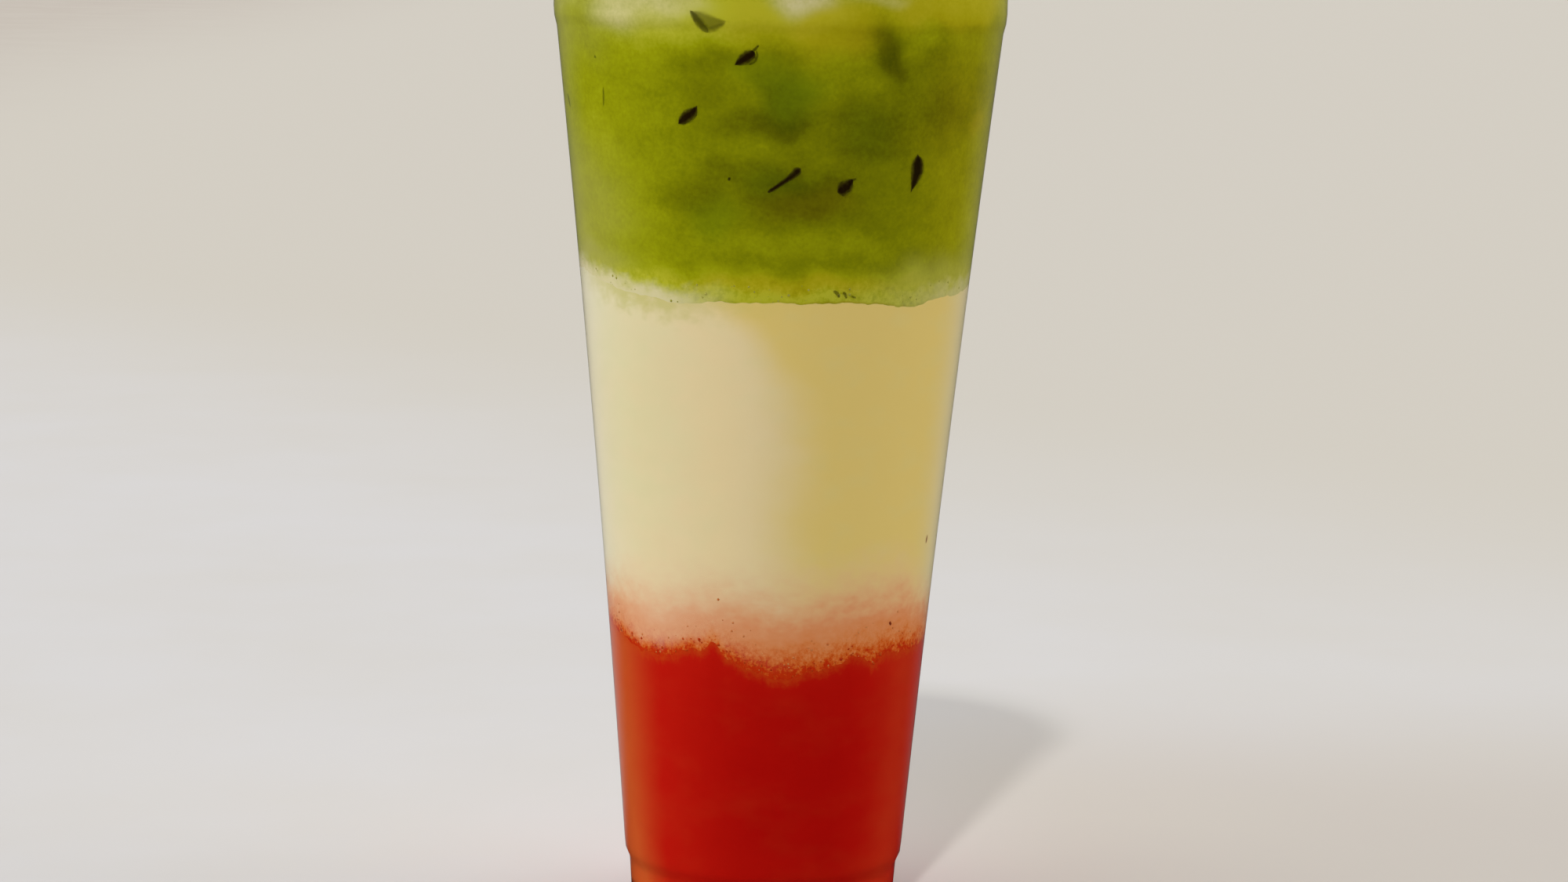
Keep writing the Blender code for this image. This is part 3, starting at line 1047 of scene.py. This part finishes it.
# %% Draw the cup's outline
RIM_RADIUS = cad_box[1].x / MM
CUP_TOP = cad_box[1].z / MM
LIP_DEPTH = 3.2
CONTACT_OUTER, CONTACT_INNER, FLOOR_UNDER = 24.6, 23.8, 3.6


def cup_outline():
    """The wall from the middle of the floor, up inside, over the rim, down outside and under the foot."""
    heights = np.linspace(FOOT_TOP - 1.0, BAND_LOW + 1.0, 90)
    inside = [(float(outer_radius(z)) - WALL, float(z), 0) for z in heights]
    outside = [(float(outer_radius(z)), float(z), 0) for z in reversed(heights)]
    band = BAND_RADIUS
    return rounded(
        [(0, FLOOR_TOP, 0), (FOOT_RADIUS - WALL - 0.15, FLOOR_TOP, FLOOR_FILLET)]
        + inside
        + [
            (band - WALL, CUP_TOP, 0.6),
            (RIM_RADIUS, CUP_TOP, 1.0),
            (RIM_RADIUS, CUP_TOP - LIP_DEPTH, 0.35),
            (RIM_RADIUS - WALL, CUP_TOP - LIP_DEPTH, 0.35),
            (RIM_RADIUS - WALL, CUP_TOP - WALL - 0.2, 0.5),
            (band, CUP_TOP - WALL - 0.2, 0.5),
        ]
        + outside
        + [
            (CONTACT_OUTER + 0.3, 0.9, 0.6),
            (CONTACT_OUTER, 0, 0.3),
            (CONTACT_INNER, 0, 0.3),
            (CONTACT_INNER - 0.1, FLOOR_UNDER, 0.6),
            (0, FLOOR_UNDER, 0),
        ]
    )


def line_mesh(name, points):
    """A mesh of points and the edges between them, in the XZ plane."""
    mesh = bpy.data.meshes.new(name)
    places = [(point.x * MM, 0.0, point.y * MM) for point in points]
    mesh.from_pydata(places, [(index, index + 1) for index in range(len(places) - 1)], [])
    return mesh


outline = line_mesh("cup_outline", cup_outline())
print("outline points:", len(outline.vertices))

# %% Start and finish a tree
def new_tree(name, inputs):
    """A Geometry Nodes tree with a Geometry input and output and the named inputs given as (name, type)."""
    tree = bpy.data.node_groups.new(name, "GeometryNodeTree")
    tree.interface.new_socket("Geometry", in_out="INPUT", socket_type="NodeSocketGeometry")
    tree.interface.new_socket("Geometry", in_out="OUTPUT", socket_type="NodeSocketGeometry")
    for socket_name, kind in inputs:
        tree.interface.new_socket(socket_name, in_out="INPUT", socket_type="NodeSocket" + kind)
    return tree, add_node(tree, "NodeGroupInput")


def finish_tree(tree, geometry, material):
    """Realizes what the tree made, smooths it and gives it its material."""
    real = add_node(tree, "GeometryNodeRealizeInstances", {0: geometry})
    smooth = add_node(tree, "GeometryNodeSetShadeSmooth", {"Geometry": real.outputs[0]})
    paint = {"Geometry": smooth.outputs[0], "Material": material}
    painted = add_node(tree, "GeometryNodeSetMaterial", paint)
    add_node(tree, "NodeGroupOutput", {0: painted.outputs[0]})


print("tree helpers ready")

# %% Build the turning tree
def turning_tree():
    """A tree that turns the outline it is given round the Z axis."""
    tree, entry = new_tree("turn_outline", (("Segments", "Int"), ("Material", "Material")))
    profile, segments = entry.outputs["Geometry"], entry.outputs["Segments"]
    size = add_node(tree, "GeometryNodeAttributeDomainSize", {"Geometry": profile})
    columns = plus(tree, segments, 1)
    grid_size = {"Vertices X": size.outputs["Point Count"], "Vertices Y": columns}
    grid = add_node(tree, "GeometryNodeMeshGrid", grid_size)
    index = add_node(tree, "GeometryNodeInputIndex").outputs[0]
    row = maths(tree, "FLOOR", maths(tree, "DIVIDE", plus(tree, index, 0.5), columns))
    column = maths(tree, "SUBTRACT", index, times(tree, row, columns))
    place = add_node(tree, "GeometryNodeInputPosition").outputs[0]
    wanted = {"Geometry": profile, "Value": place, "Index": row}
    sample = add_node(tree, "GeometryNodeSampleIndex", wanted, data_type="FLOAT_VECTOR")
    parts = add_node(tree, "ShaderNodeSeparateXYZ", {0: sample.outputs[0]})
    turn = times(tree, maths(tree, "DIVIDE", column, segments), 2 * math.pi)
    across = times(tree, parts.outputs["X"], maths(tree, "COSINE", turn))
    away = times(tree, parts.outputs["X"], maths(tree, "SINE", turn))
    swung = add_node(tree, "ShaderNodeCombineXYZ", {"X": across, "Y": away, "Z": parts.outputs["Z"]})
    new_place = {"Geometry": grid.outputs["Mesh"], "Position": swung.outputs[0]}
    moved = add_node(tree, "GeometryNodeSetPosition", new_place)
    merged = add_node(tree, "GeometryNodeMergeByDistance", {0: moved.outputs[0], "Distance": 1e-6})
    finish_tree(tree, merged.outputs[0], entry.outputs["Material"])
    return tree


turn_outline = turning_tree()
print(turn_outline.name, "has", len(turn_outline.nodes), "nodes")

# %% Run a tree
def run_tree(name, mesh, tree, values):
    """Runs a tree on a mesh and returns the plain mesh that it makes."""
    thing = bpy.data.objects.new(name, mesh)
    modifier = thing.modifiers.new(tree.name, "NODES")
    modifier.node_group = tree
    identifiers = {
        item.name: item.identifier
        for item in tree.interface.items_tree
        if item.item_type == "SOCKET" and item.in_out == "INPUT"
    }
    for label, value in values.items():
        modifier[identifiers[label]] = value
    bpy.context.scene.collection.objects.link(thing)
    made = evaluated_mesh(thing)
    thing.modifiers.remove(modifier)
    bpy.data.objects.remove(thing)
    made.name = name
    return made


def faces_outwards(mesh):
    """Turns a closed mesh's faces round if they point inwards."""
    check = bmesh.new()
    check.from_mesh(mesh)
    if check.calc_volume(signed=True) < 0:
        bmesh.ops.reverse_faces(check, faces=check.faces)
        check.to_mesh(mesh)
    check.free()


print("ready to run", turn_outline.name)

# %% [markdown]
# Clear plastic bends light a little more than ice does. Seen through it, the drink fills the cup right to
# its silhouette, and the wall itself only shows as a pale haze where it is seen at a shallow angle. On the
# wall that haze is the Fresnel reflection, so it comes from the shader and the light; the paler sides of the
# layers under it are painted light.

# %% Make the cup
CUP_SEGMENTS = 320


def plastic_material():
    """Clear moulded plastic with the faintest waviness."""
    material, tree, shader = new_material("clear_plastic")
    shader.inputs["Base Color"].default_value = (0.985, 0.99, 0.985, 1)
    shader.inputs["Transmission Weight"].default_value = 1.0
    shader.inputs["IOR"].default_value = 1.49
    shader.inputs["Roughness"].default_value = 0.03
    waves = noise_of(tree, drifting_clouds, 12.0, 1.0)
    relief = add_node(tree, "ShaderNodeBump", {"Height": waves, "Strength": 0.08, "Distance": 0.0008})
    tree.links.new(relief.outputs[0], shader.inputs["Normal"])
    let_lamps_through(tree, shader, (0.84, 0.85, 0.83, 1), (0.97, 0.975, 0.97, 1))
    return material


clear_plastic = plastic_material()
cup_values = {"Segments": CUP_SEGMENTS, "Material": clear_plastic}
cup_mesh = run_tree("clear_cup", outline, turn_outline, cup_values)
faces_outwards(cup_mesh)
add_piece("clear_cup", cup_mesh, clear_plastic, "clear_plastic", "cup")

# %% [markdown]
# ## Air pockets against the wall
#
# Where a cube's corner leaves a gap that the drink can't wet, a small pocket of air stays against the wall
# and shows as a dark almond, a teardrop or a dash. That dark is painted shade, as the air has no colour of
# its own. Each one is drawn like a brush stroke: a few places on it, with a width at each. The stroke
# becomes a flattened tube that lies on the wall's curve, thick in the middle and thin at its edge. The
# material reads that thickness, so a pocket fades out softly all round. Two specks of fruit in the milk are
# made in the same way.

# %% Lay out the strokes
# Each stroke: how dark it is, then its angle, height and width at a few places along it
POCKET_STROKES = [
    (1.0, [
        (-11.1, 161.5, 0.2), (-9.6, 162.2, 1.5), (-8.0, 162.9, 2.2), (-6.6, 163.5, 1.9), (-5.9, 163.9, 0.7),
    ]),
    (0.55, [(-6.8, 163.8, 0.6), (-5.9, 164.4, 0.55), (-4.9, 165.2, 0.3)]),
    (0.4, [(-7.4, 161.6, 0.4), (-5.9, 162.3, 0.5), (-5.3, 163.3, 0.45), (-5.6, 164.2, 0.3)]),
    (1.0, [
        (-26.6, 150.7, 0.4), (-25.4, 151.4, 1.7), (-23.8, 152.2, 2.2),
        (-22.2, 153.0, 1.7), (-21.0, 154.2, 0.3),
    ]),
    (1.0, [
        (-2.3, 139.1, 0.6), (-0.8, 139.8, 0.75), (1.6, 140.9, 0.8),
        (4.2, 142.2, 1.2), (5.6, 143.1, 1.55), (6.5, 143.6, 0.7),
    ]),
    (1.0, [
        (16.6, 139.2, 1.0), (17.8, 139.7, 2.5), (19.0, 140.3, 2.5), (20.0, 141.1, 1.6), (20.8, 141.6, 0.4),
    ]),
    (0.5, [(20.2, 141.3, 0.8), (21.7, 141.8, 0.3)]),
    (0.95, [
        (40.3, 146.0, 0.5), (40.7, 144.9, 2.2), (40.8, 143.4, 3.1),
        (40.5, 142.0, 2.5), (39.9, 140.5, 1.2), (39.2, 139.0, 0.3),
    ]),
    (0.75, [(-12.9, 141.4, 0.6), (-12.2, 141.3, 0.6)]),
    (0.42, [(-22.3, 170.9, 0.5), (-20.9, 169.7, 1.2), (-19.3, 168.4, 1.4), (-17.7, 167.0, 0.9)]),
    (0.15, [(-17.9, 167.3, 1.2), (-15.7, 167.9, 1.0), (-13.1, 168.8, 0.4)]),
    (0.35, [
        (-22.2, 170.8, 0.6), (-19.6, 169.6, 2.4), (-17.2, 168.8, 2.8),
        (-15.0, 168.8, 1.8), (-12.9, 169.2, 0.4),
    ]),
    (0.3, [(-51.8, 156.6, 0.35), (-52.0, 154.9, 0.6), (-52.4, 153.0, 0.35)]),
    (0.4, [(-54.9, 161.9, 0.5), (-54.1, 161.7, 0.5)]),
    (0.4, [(-76.2, 154.5, 0.4), (-74.8, 153.3, 0.9), (-73.5, 151.9, 0.4)]),
    (0.45, [(17.0, 121.6, 0.4), (18.2, 121.1, 0.7), (18.9, 120.3, 0.4)]),
    (0.45, [(19.9, 121.3, 0.5), (20.7, 120.9, 0.6), (21.1, 120.1, 0.3)]),
    (0.35, [(22.6, 120.6, 0.4), (24.0, 120.2, 0.4)]),
]
FRUIT_STROKES = [
    (0.8, [(48.5, 58.5, 0.8), (49.3, 58.8, 0.8)]),
    (0.6, [(67.7, 72.4, 0.3), (68.0, 73.2, 0.7), (68.4, 74.0, 0.3)]),
]
print(len(POCKET_STROKES), "strokes in front")

# %% Carry the strokes round the back
STROKES_SPAN = 190


def strokes_behind(seed, count):
    """More almonds and dashes for the side that faces away."""
    chance = random.Random(seed)
    strokes = []
    for index in range(count):
        angle = BACK_START + STROKES_SPAN * (index + chance.uniform(0.2, 0.8)) / count
        height = chance.uniform(136, 167)
        turn = math.radians(chance.uniform(15, 105))
        length, width = chance.uniform(2.0, 5.5), chance.uniform(0.8, 2.3)
        stroke = []
        for share, part in ((-0.5, 0.2), (-0.2, 0.8), (0.1, 1.0), (0.5, 0.15)):
            across, up = share * length * math.cos(turn), share * length * math.sin(turn)
            stroke.append((angle + across * 1.4, height + up, width * part))
        strokes.append((chance.uniform(0.7, 1.0), stroke))
    return strokes


POCKET_STROKES += strokes_behind(31, 9)
print(len(POCKET_STROKES), "strokes all round")

# %% Draw a smooth path
def smooth_path(places, count):
    """Points along a smooth curve through the places: a Catmull-Rom curve."""
    places = np.array([places[0], *places, places[-1]], float)
    spans = len(places) - 3
    points = []
    for step in np.linspace(0, spans, count):
        span = min(int(step), spans - 1)
        a, b, c, d = places[span : span + 4]
        t = step - span
        bend = (2 * a - 5 * b + 4 * c - d) * t**2 + (3 * b - a - 3 * c + d) * t**3
        points.append(0.5 * (2 * b + (c - a) * t + bend))
    return np.array(points)


print("points along a path:", len(smooth_path(POCKET_STROKES[0][1], 22)))

# %% Make a stroke a flat tube
# A stroke fades towards its edge, so it is drawn this much wider than the dark that one sees
SOFT_EDGE = 1.3
THINNEST = 0.05


def stroke_mesh(name, strokes, thickness=0.12, stations=22, corners=14):
    """One mesh of flattened tubes on the wall, with each point's thickness and darkness stored."""
    points, faces, depths, darks = [], [], [], []
    for dark, places in strokes:
        route = smooth_path(places, stations)
        flat = np.column_stack([np.radians(route[:, 0]) * outer_radius(route[:, 1]), route[:, 1]])
        along = np.gradient(flat, axis=0)
        across = np.column_stack([-along[:, 1], along[:, 0]]) / np.linalg.norm(along, axis=1)[:, None]
        first = len(points)
        for station in range(stations):
            share = station / (stations - 1)
            taper = min(1.0, 6 * share, 6 * (1 - share)) ** 0.5 + 0.02
            half_width = max(route[station, 2] * SOFT_EDGE, THINNEST) / 2 * taper
            for corner in range(corners):
                turn = 2 * math.pi * corner / corners
                u, level = flat[station] + across[station] * math.cos(turn) * half_width
                wall = float(filled_radius(level, REACH))
                out = math.sin(turn) * taper
                radius = wall + out * thickness * (1 if out > 0 else 2)
                swing = u / float(outer_radius(level))
                points.append((radius * math.sin(swing), -radius * math.cos(swing), level))
                depths.append((1 - abs(math.cos(turn))) * taper if out > 0 else 0.0)
                darks.append(dark)
        for station in range(stations - 1):
            low = first + station * corners
            high = low + corners
            for corner in range(corners):
                following = (corner + 1) % corners
                faces.append((low + corner, high + corner, high + following, low + following))
        faces.append(tuple(range(first, first + corners)))
        faces.append(tuple(reversed(range(first + (stations - 1) * corners, first + stations * corners))))
    mesh = bpy.data.meshes.new(name)
    mesh.from_pydata((np.array(points) * MM).tolist(), [], faces)
    mesh.shade_smooth()
    faces_outwards(mesh)
    store(mesh, "depth", np.array(depths))
    store(mesh, "dark", np.array(darks))
    return mesh


pocket_mesh = stroke_mesh("air_pocket_shades", POCKET_STROKES)
speck_mesh = stroke_mesh("fruit_specks", FRUIT_STROKES)
print("points in the pockets:", len(pocket_mesh.vertices))

# %% Make the pockets and the specks
def stroke_material(name, core, rim):
    """A dark core that fades through a lighter rim to nothing: painted shade for air pockets, own colour for
    fruit specks.
    """
    material, tree, shader = new_material(name)
    depth = plus(tree, attribute(tree, "depth"), noise_of(tree, fine_grain, 1.0, 0.6))
    tone = mixed(tree, smooth_range(tree, depth, 0.2, 0.8), rim, core)
    tree.links.new(tone, shader.inputs["Base Color"])
    cover = times(tree, smooth_range(tree, depth, 0.02, 0.6), attribute(tree, "dark"), clamp=True)
    tree.links.new(cover, shader.inputs["Alpha"])
    matt(shader)
    return material


# The pockets' dark is painted shade; the specks keep the fruit's own colour
pocket_shade_look = stroke_material("air_pocket_shade", colour(30, 18, 3), colour(88, 82, 12))
add_piece("air_pocket_shades", pocket_mesh, pocket_shade_look, "matcha")
speck_look = stroke_material("fruit_speck", colour(120, 24, 8), colour(180, 70, 34))
add_piece("fruit_specks", speck_mesh, speck_look, "strawberry")

# %% [markdown]
# ## Pulp and froth
#
# Beads repeat by the hundred, so one scattering tree makes them all. It spreads points over a surface where
# a stored mask allows, puts a flattened ball with a random size on each, and realizes them. The puree's
# edge gets red and orange pulp with a haze of orange froth above it. The matcha's lower edge gets green
# froth, and its open surface gets pale bubbles, most of them round the ice and near the wall.

# %% Build the scattering tree
def scattering_tree():
    """A tree that scatters beads over a surface, where the bead_mask stored on it allows."""
    kinds = dict.fromkeys(("Density", "Smallest", "Largest", "Flatness"), "Float")
    kinds.update(Detail="Int", Seed="Int", Material="Material")
    tree, entry = new_tree("scatter_beads", kinds.items())
    mask = add_node(tree, "GeometryNodeInputNamedAttribute", {"Name": "bead_mask"}, data_type="FLOAT")
    density = times(tree, mask.outputs["Attribute"], entry.outputs["Density"])
    spread = add_node(
        tree,
        "GeometryNodeDistributePointsOnFaces",
        {"Mesh": entry.outputs["Geometry"], "Density": density, "Seed": entry.outputs["Seed"]},
        distribute_method="RANDOM",
    )
    draw = add_node(tree, "FunctionNodeRandomValue", {"Seed": entry.outputs["Seed"]}, data_type="FLOAT")
    skewed = maths(tree, "POWER", draw.outputs[1], 2.5)
    span = maths(tree, "SUBTRACT", entry.outputs["Largest"], entry.outputs["Smallest"])
    size = plus(tree, entry.outputs["Smallest"], times(tree, skewed, span))
    thickness = times(tree, size, entry.outputs["Flatness"])
    scale = add_node(tree, "ShaderNodeCombineXYZ", {"X": size, "Y": size, "Z": thickness})
    ball_size = {"Radius": 1.0, "Subdivisions": entry.outputs["Detail"]}
    ball = add_node(tree, "GeometryNodeMeshIcoSphere", ball_size)
    placed = add_node(
        tree,
        "GeometryNodeInstanceOnPoints",
        {
            "Points": spread.outputs["Points"],
            "Instance": ball.outputs["Mesh"],
            "Rotation": spread.outputs["Rotation"],
            "Scale": scale.outputs[0],
        },
    )
    finish_tree(tree, placed.outputs[0], entry.outputs["Material"])
    return tree


scatter_beads = scattering_tree()
print(scatter_beads.name, "has", len(scatter_beads.nodes), "nodes")

# %% Run the scattering tree
def scattered(name, surface, mask, material, slot, density, sizes, flatness, detail, seed):
    """Scatters beads on a copy of a surface where mask is above 0, and adds them as a piece."""
    base = surface.copy()
    store(base, "bead_mask", mask)
    values = {
        "Density": density,
        "Smallest": sizes[0] * MM,
        "Largest": sizes[1] * MM,
        "Flatness": flatness,
        "Detail": detail,
        "Seed": seed,
        "Material": material,
    }
    add_piece(name, run_tree(name, base, scatter_beads, values), material, slot)


print("ready to run", scatter_beads.name)

# %% Scatter pulp and froth over the red line
def bead_material(name, dark, light, roughness=0.4, gloss=0.0):
    """Beads whose tone drifts from one to the next."""
    material, tree, shader = new_material(name)
    drift = noise_of(tree, fine_grain, 1.5, 2.5)
    base = mixed(tree, plus(tree, drift, 0.5), dark, light)
    tree.links.new(base, shader.inputs["Base Color"])
    shader.inputs["Roughness"].default_value = roughness
    shader.inputs["Specular IOR Level"].default_value = gloss
    return material


angle, radius, height = mesh_places(milk_mesh)
side = radius > filled_radius(height, 0.0)
above = height - line_at(red_line, angle)
pulp_mask = side * np.exp(-((above - 0.8) / 1.4) ** 2)
pulp_look = bead_material("pulp", colour(176, 30, 12), colour(214, 96, 34))
scattered(
    "pulp", milk_mesh, pulp_mask, pulp_look, "strawberry",
    density=6.0e5, sizes=(0.10, 0.42), flatness=0.35, detail=1, seed=4,
)
froth_mask = side * np.exp(-((above - 3.5) / 2.6) ** 2)
froth_look = bead_material("milk_froth", colour(204, 104, 48), colour(226, 156, 98))
scattered(
    "milk_froth", milk_mesh, froth_mask, froth_look, "milk",
    density=3.0e5, sizes=(0.10, 0.30), flatness=0.3, detail=1, seed=5,
)

# %% Scatter froth over the green line
angle, radius, height = mesh_places(matcha_mesh)
side = radius > filled_radius(height, 0.0)
above = height - line_at(green_line, angle)
edge_mask = side * np.exp(-((above - 1.6) / 1.6) ** 2)
edge_look = bead_material("edge_froth", colour(150, 150, 40), colour(190, 184, 96))
scattered(
    "edge_froth", matcha_mesh, edge_mask, edge_look, "matcha",
    density=2.2e5, sizes=(0.08, 0.30), flatness=0.3, detail=1, seed=6,
)

# %% Scatter bubbles on the surface
def distance_to_ice(mesh):
    """How far each point of a mesh lies from the nearest cube, in millimetres."""
    places = [vertex.co for cube in cube_meshes.values() for vertex in cube.vertices]
    tree = kdtree.KDTree(len(places))
    for index, place in enumerate(places):
        tree.insert(place, index)
    tree.balance()
    return np.array([tree.find(vertex.co)[2] for vertex in mesh.vertices]) / MM


by_wall = 0.6 * np.exp(-((filled_radius(height, REACH) - radius - 2.5) / 2.0) ** 2)
by_ice = np.exp(-((distance_to_ice(matcha_mesh) / 1.6) ** 2))
top_mask = on_top * np.clip(0.12 + by_wall + 0.8 * by_ice, 0, 1)
top_look = bead_material("surface_froth", colour(206, 202, 122), colour(230, 224, 170), 0.2, 0.3)
scattered(
    "surface_froth", matcha_mesh, top_mask, top_look, "matcha",
    density=9.0e5, sizes=(0.12, 0.6), flatness=0.45, detail=2, seed=7,
)

# %% [markdown]
# ## Floor and light
#
# The floor is plain and pale, cool behind the cup and warmer in the distance, near the front on the right
# and far out on the left. The warmer tones are darker too, and they are painted: shade where light falls off
# in the distance and far out on the left, and a broad soft shadow near the front on the right. The light is
# a dim sky with two bright sides, one at the left and one behind on the right, and a small lamp high in
# front that draws the cup's shadow behind it. Photographers keep what a glass would mirror dark. Here the
# floor is dark for mirrored rays only, except behind the cup, where its light at a shallow angle is what
# makes the wall show.

# %% Mix the floor's tones
# Behind is the plain floor; the other three tones are painted shade and shadow
FLOOR_TONES = {
    "behind": (0.520, 0.507, 0.501, 1),
    "distance": (0.489, 0.460, 0.409, 1),
    "corner": (0.416, 0.370, 0.326, 1),
    "front": (0.469, 0.433, 0.396, 1),
}


def floor_material():
    """A matt tabletop in four tones, three of them painted shade, nearly black to mirrored rays."""
    material, tree, shader = new_material("floor")
    where = add_node(tree, "ShaderNodeTexCoord").outputs["Object"]
    place = add_node(tree, "ShaderNodeSeparateXYZ", {0: where})
    right, away = place.outputs["X"], place.outputs["Y"]
    # Painted shade far away and far out on the left, and a painted shadow near the front on the right
    far = smooth_range(tree, plus(tree, away, right), 0.22, 0.85)
    corner = times(tree, smooth_range(tree, right, -0.5, -1.25), 0.8)
    near = smooth_range(tree, away, 0.24, 0.08)
    front = times(tree, smooth_range(tree, right, -0.02, 0.07), near)
    base = mixed(tree, far, FLOOR_TONES["behind"], FLOOR_TONES["distance"])
    base = mixed(tree, corner, base, FLOOR_TONES["corner"])
    base = mixed(tree, front, base, FLOOR_TONES["front"])
    drift = noise_of(tree, drifting_clouds, 90.0, 0.9)
    base = mixed(tree, plus(tree, drift, 0.1), base, FLOOR_TONES["distance"])
    tree.links.new(base, shader.inputs["Base Color"])
    shader.inputs["Roughness"].default_value = 0.9
    shader.inputs["Specular IOR Level"].default_value = 0.0
    distance = add_node(tree, "ShaderNodeVectorMath", {0: where}, operation="LENGTH").outputs["Value"]
    behind = smooth_range(tree, maths(tree, "DIVIDE", away, distance), 0.5, 0.9)
    to_left = smooth_range(tree, maths(tree, "DIVIDE", right, distance), 0.1, -0.4)
    near_left = times(tree, smooth_range(tree, distance, 1.0, 0.3), to_left)
    bright = times(tree, behind, plus(tree, 0.13, times(tree, near_left, 0.25)))
    path = add_node(tree, "ShaderNodeLightPath").outputs
    mirrored = maths(tree, "SUBTRACT", path["Is Glossy Ray"], path["Is Transmission Ray"], clamp=True)
    dark = times(tree, maths(tree, "SUBTRACT", 1.0, bright), mirrored)
    black = add_node(tree, "ShaderNodeBsdfDiffuse", {"Color": (0.01, 0.01, 0.01, 1)})
    both = add_node(tree, "ShaderNodeMixShader", {0: dark, 1: shader.outputs[0], 2: black.outputs[0]})
    tree.links.new(both.outputs[0], tree.nodes["Material Output"].inputs["Surface"])
    return material


floor_look = floor_material()
print(floor_look.name, "has", len(floor_look.node_tree.nodes), "nodes")

# %% Lay the floor
FLOOR_HALF = 9.0

floor_mesh = bpy.data.meshes.new("floor")
corners = [(x * FLOOR_HALF, y * FLOOR_HALF, 0) for x, y in ((-1, -1), (1, -1), (1, 1), (-1, 1))]
floor_mesh.from_pydata(corners, [], [(0, 1, 2, 3)])
floor_mesh.materials.append(floor_look)
floor = bpy.data.objects.new("floor", floor_mesh)
floor.location.z = -0.0001
bpy.context.scene.collection.objects.link(floor)
print("floor", 2 * FLOOR_HALF, "metres wide")

# %% Set the light
# Where the lamp shines from, then each bright side of the sky: its direction and how bright it is
KEY_FROM = Vector((-0.169, -1.0, 1.149))
KEY_STRENGTH = 1.2
KEY_ANGLE = math.radians(2.6)
DIM_SKY = 0.18
BRIGHT_SIDES = (((-0.9, 0.35, 0.35), 1.6), ((0.7, 0.75, 0.2), 2.1))


def add_key():
    """A high lamp far in front, so that its light is even over the floor."""
    lamp = bpy.data.lights.new("key", "SUN")
    lamp.energy = KEY_STRENGTH
    lamp.angle = KEY_ANGLE
    key = bpy.data.objects.new("key", lamp)
    key.matrix_world = KEY_FROM.to_track_quat("Z", "Y").to_matrix().to_4x4()
    bpy.context.scene.collection.objects.link(key)


def add_sky():
    """A dim sky that brightens towards the left and towards the right behind the cup."""
    sky = bpy.data.worlds.new("sky")
    sky.use_nodes = True
    tree = sky.node_tree
    way = add_node(tree, "ShaderNodeTexCoord").outputs["Generated"]
    strength = DIM_SKY
    for middle, brightness in BRIGHT_SIDES:
        middle = Vector(middle).normalized()
        towards = add_node(tree, "ShaderNodeVectorMath", {0: way, 1: middle}, operation="DOT_PRODUCT")
        glow = times(tree, smooth_range(tree, towards.outputs["Value"], 0.25, 0.95), brightness)
        strength = plus(tree, strength, glow)
    tree.links.new(strength, tree.nodes["Background"].inputs["Strength"])
    tree.nodes["Background"].inputs["Color"].default_value = (1.0, 1.0, 1.0, 1)
    bpy.context.scene.world = sky


add_key()
add_sky()
bpy.context.scene.view_settings.view_transform = "Standard"
bpy.context.scene.view_settings.look = "None"
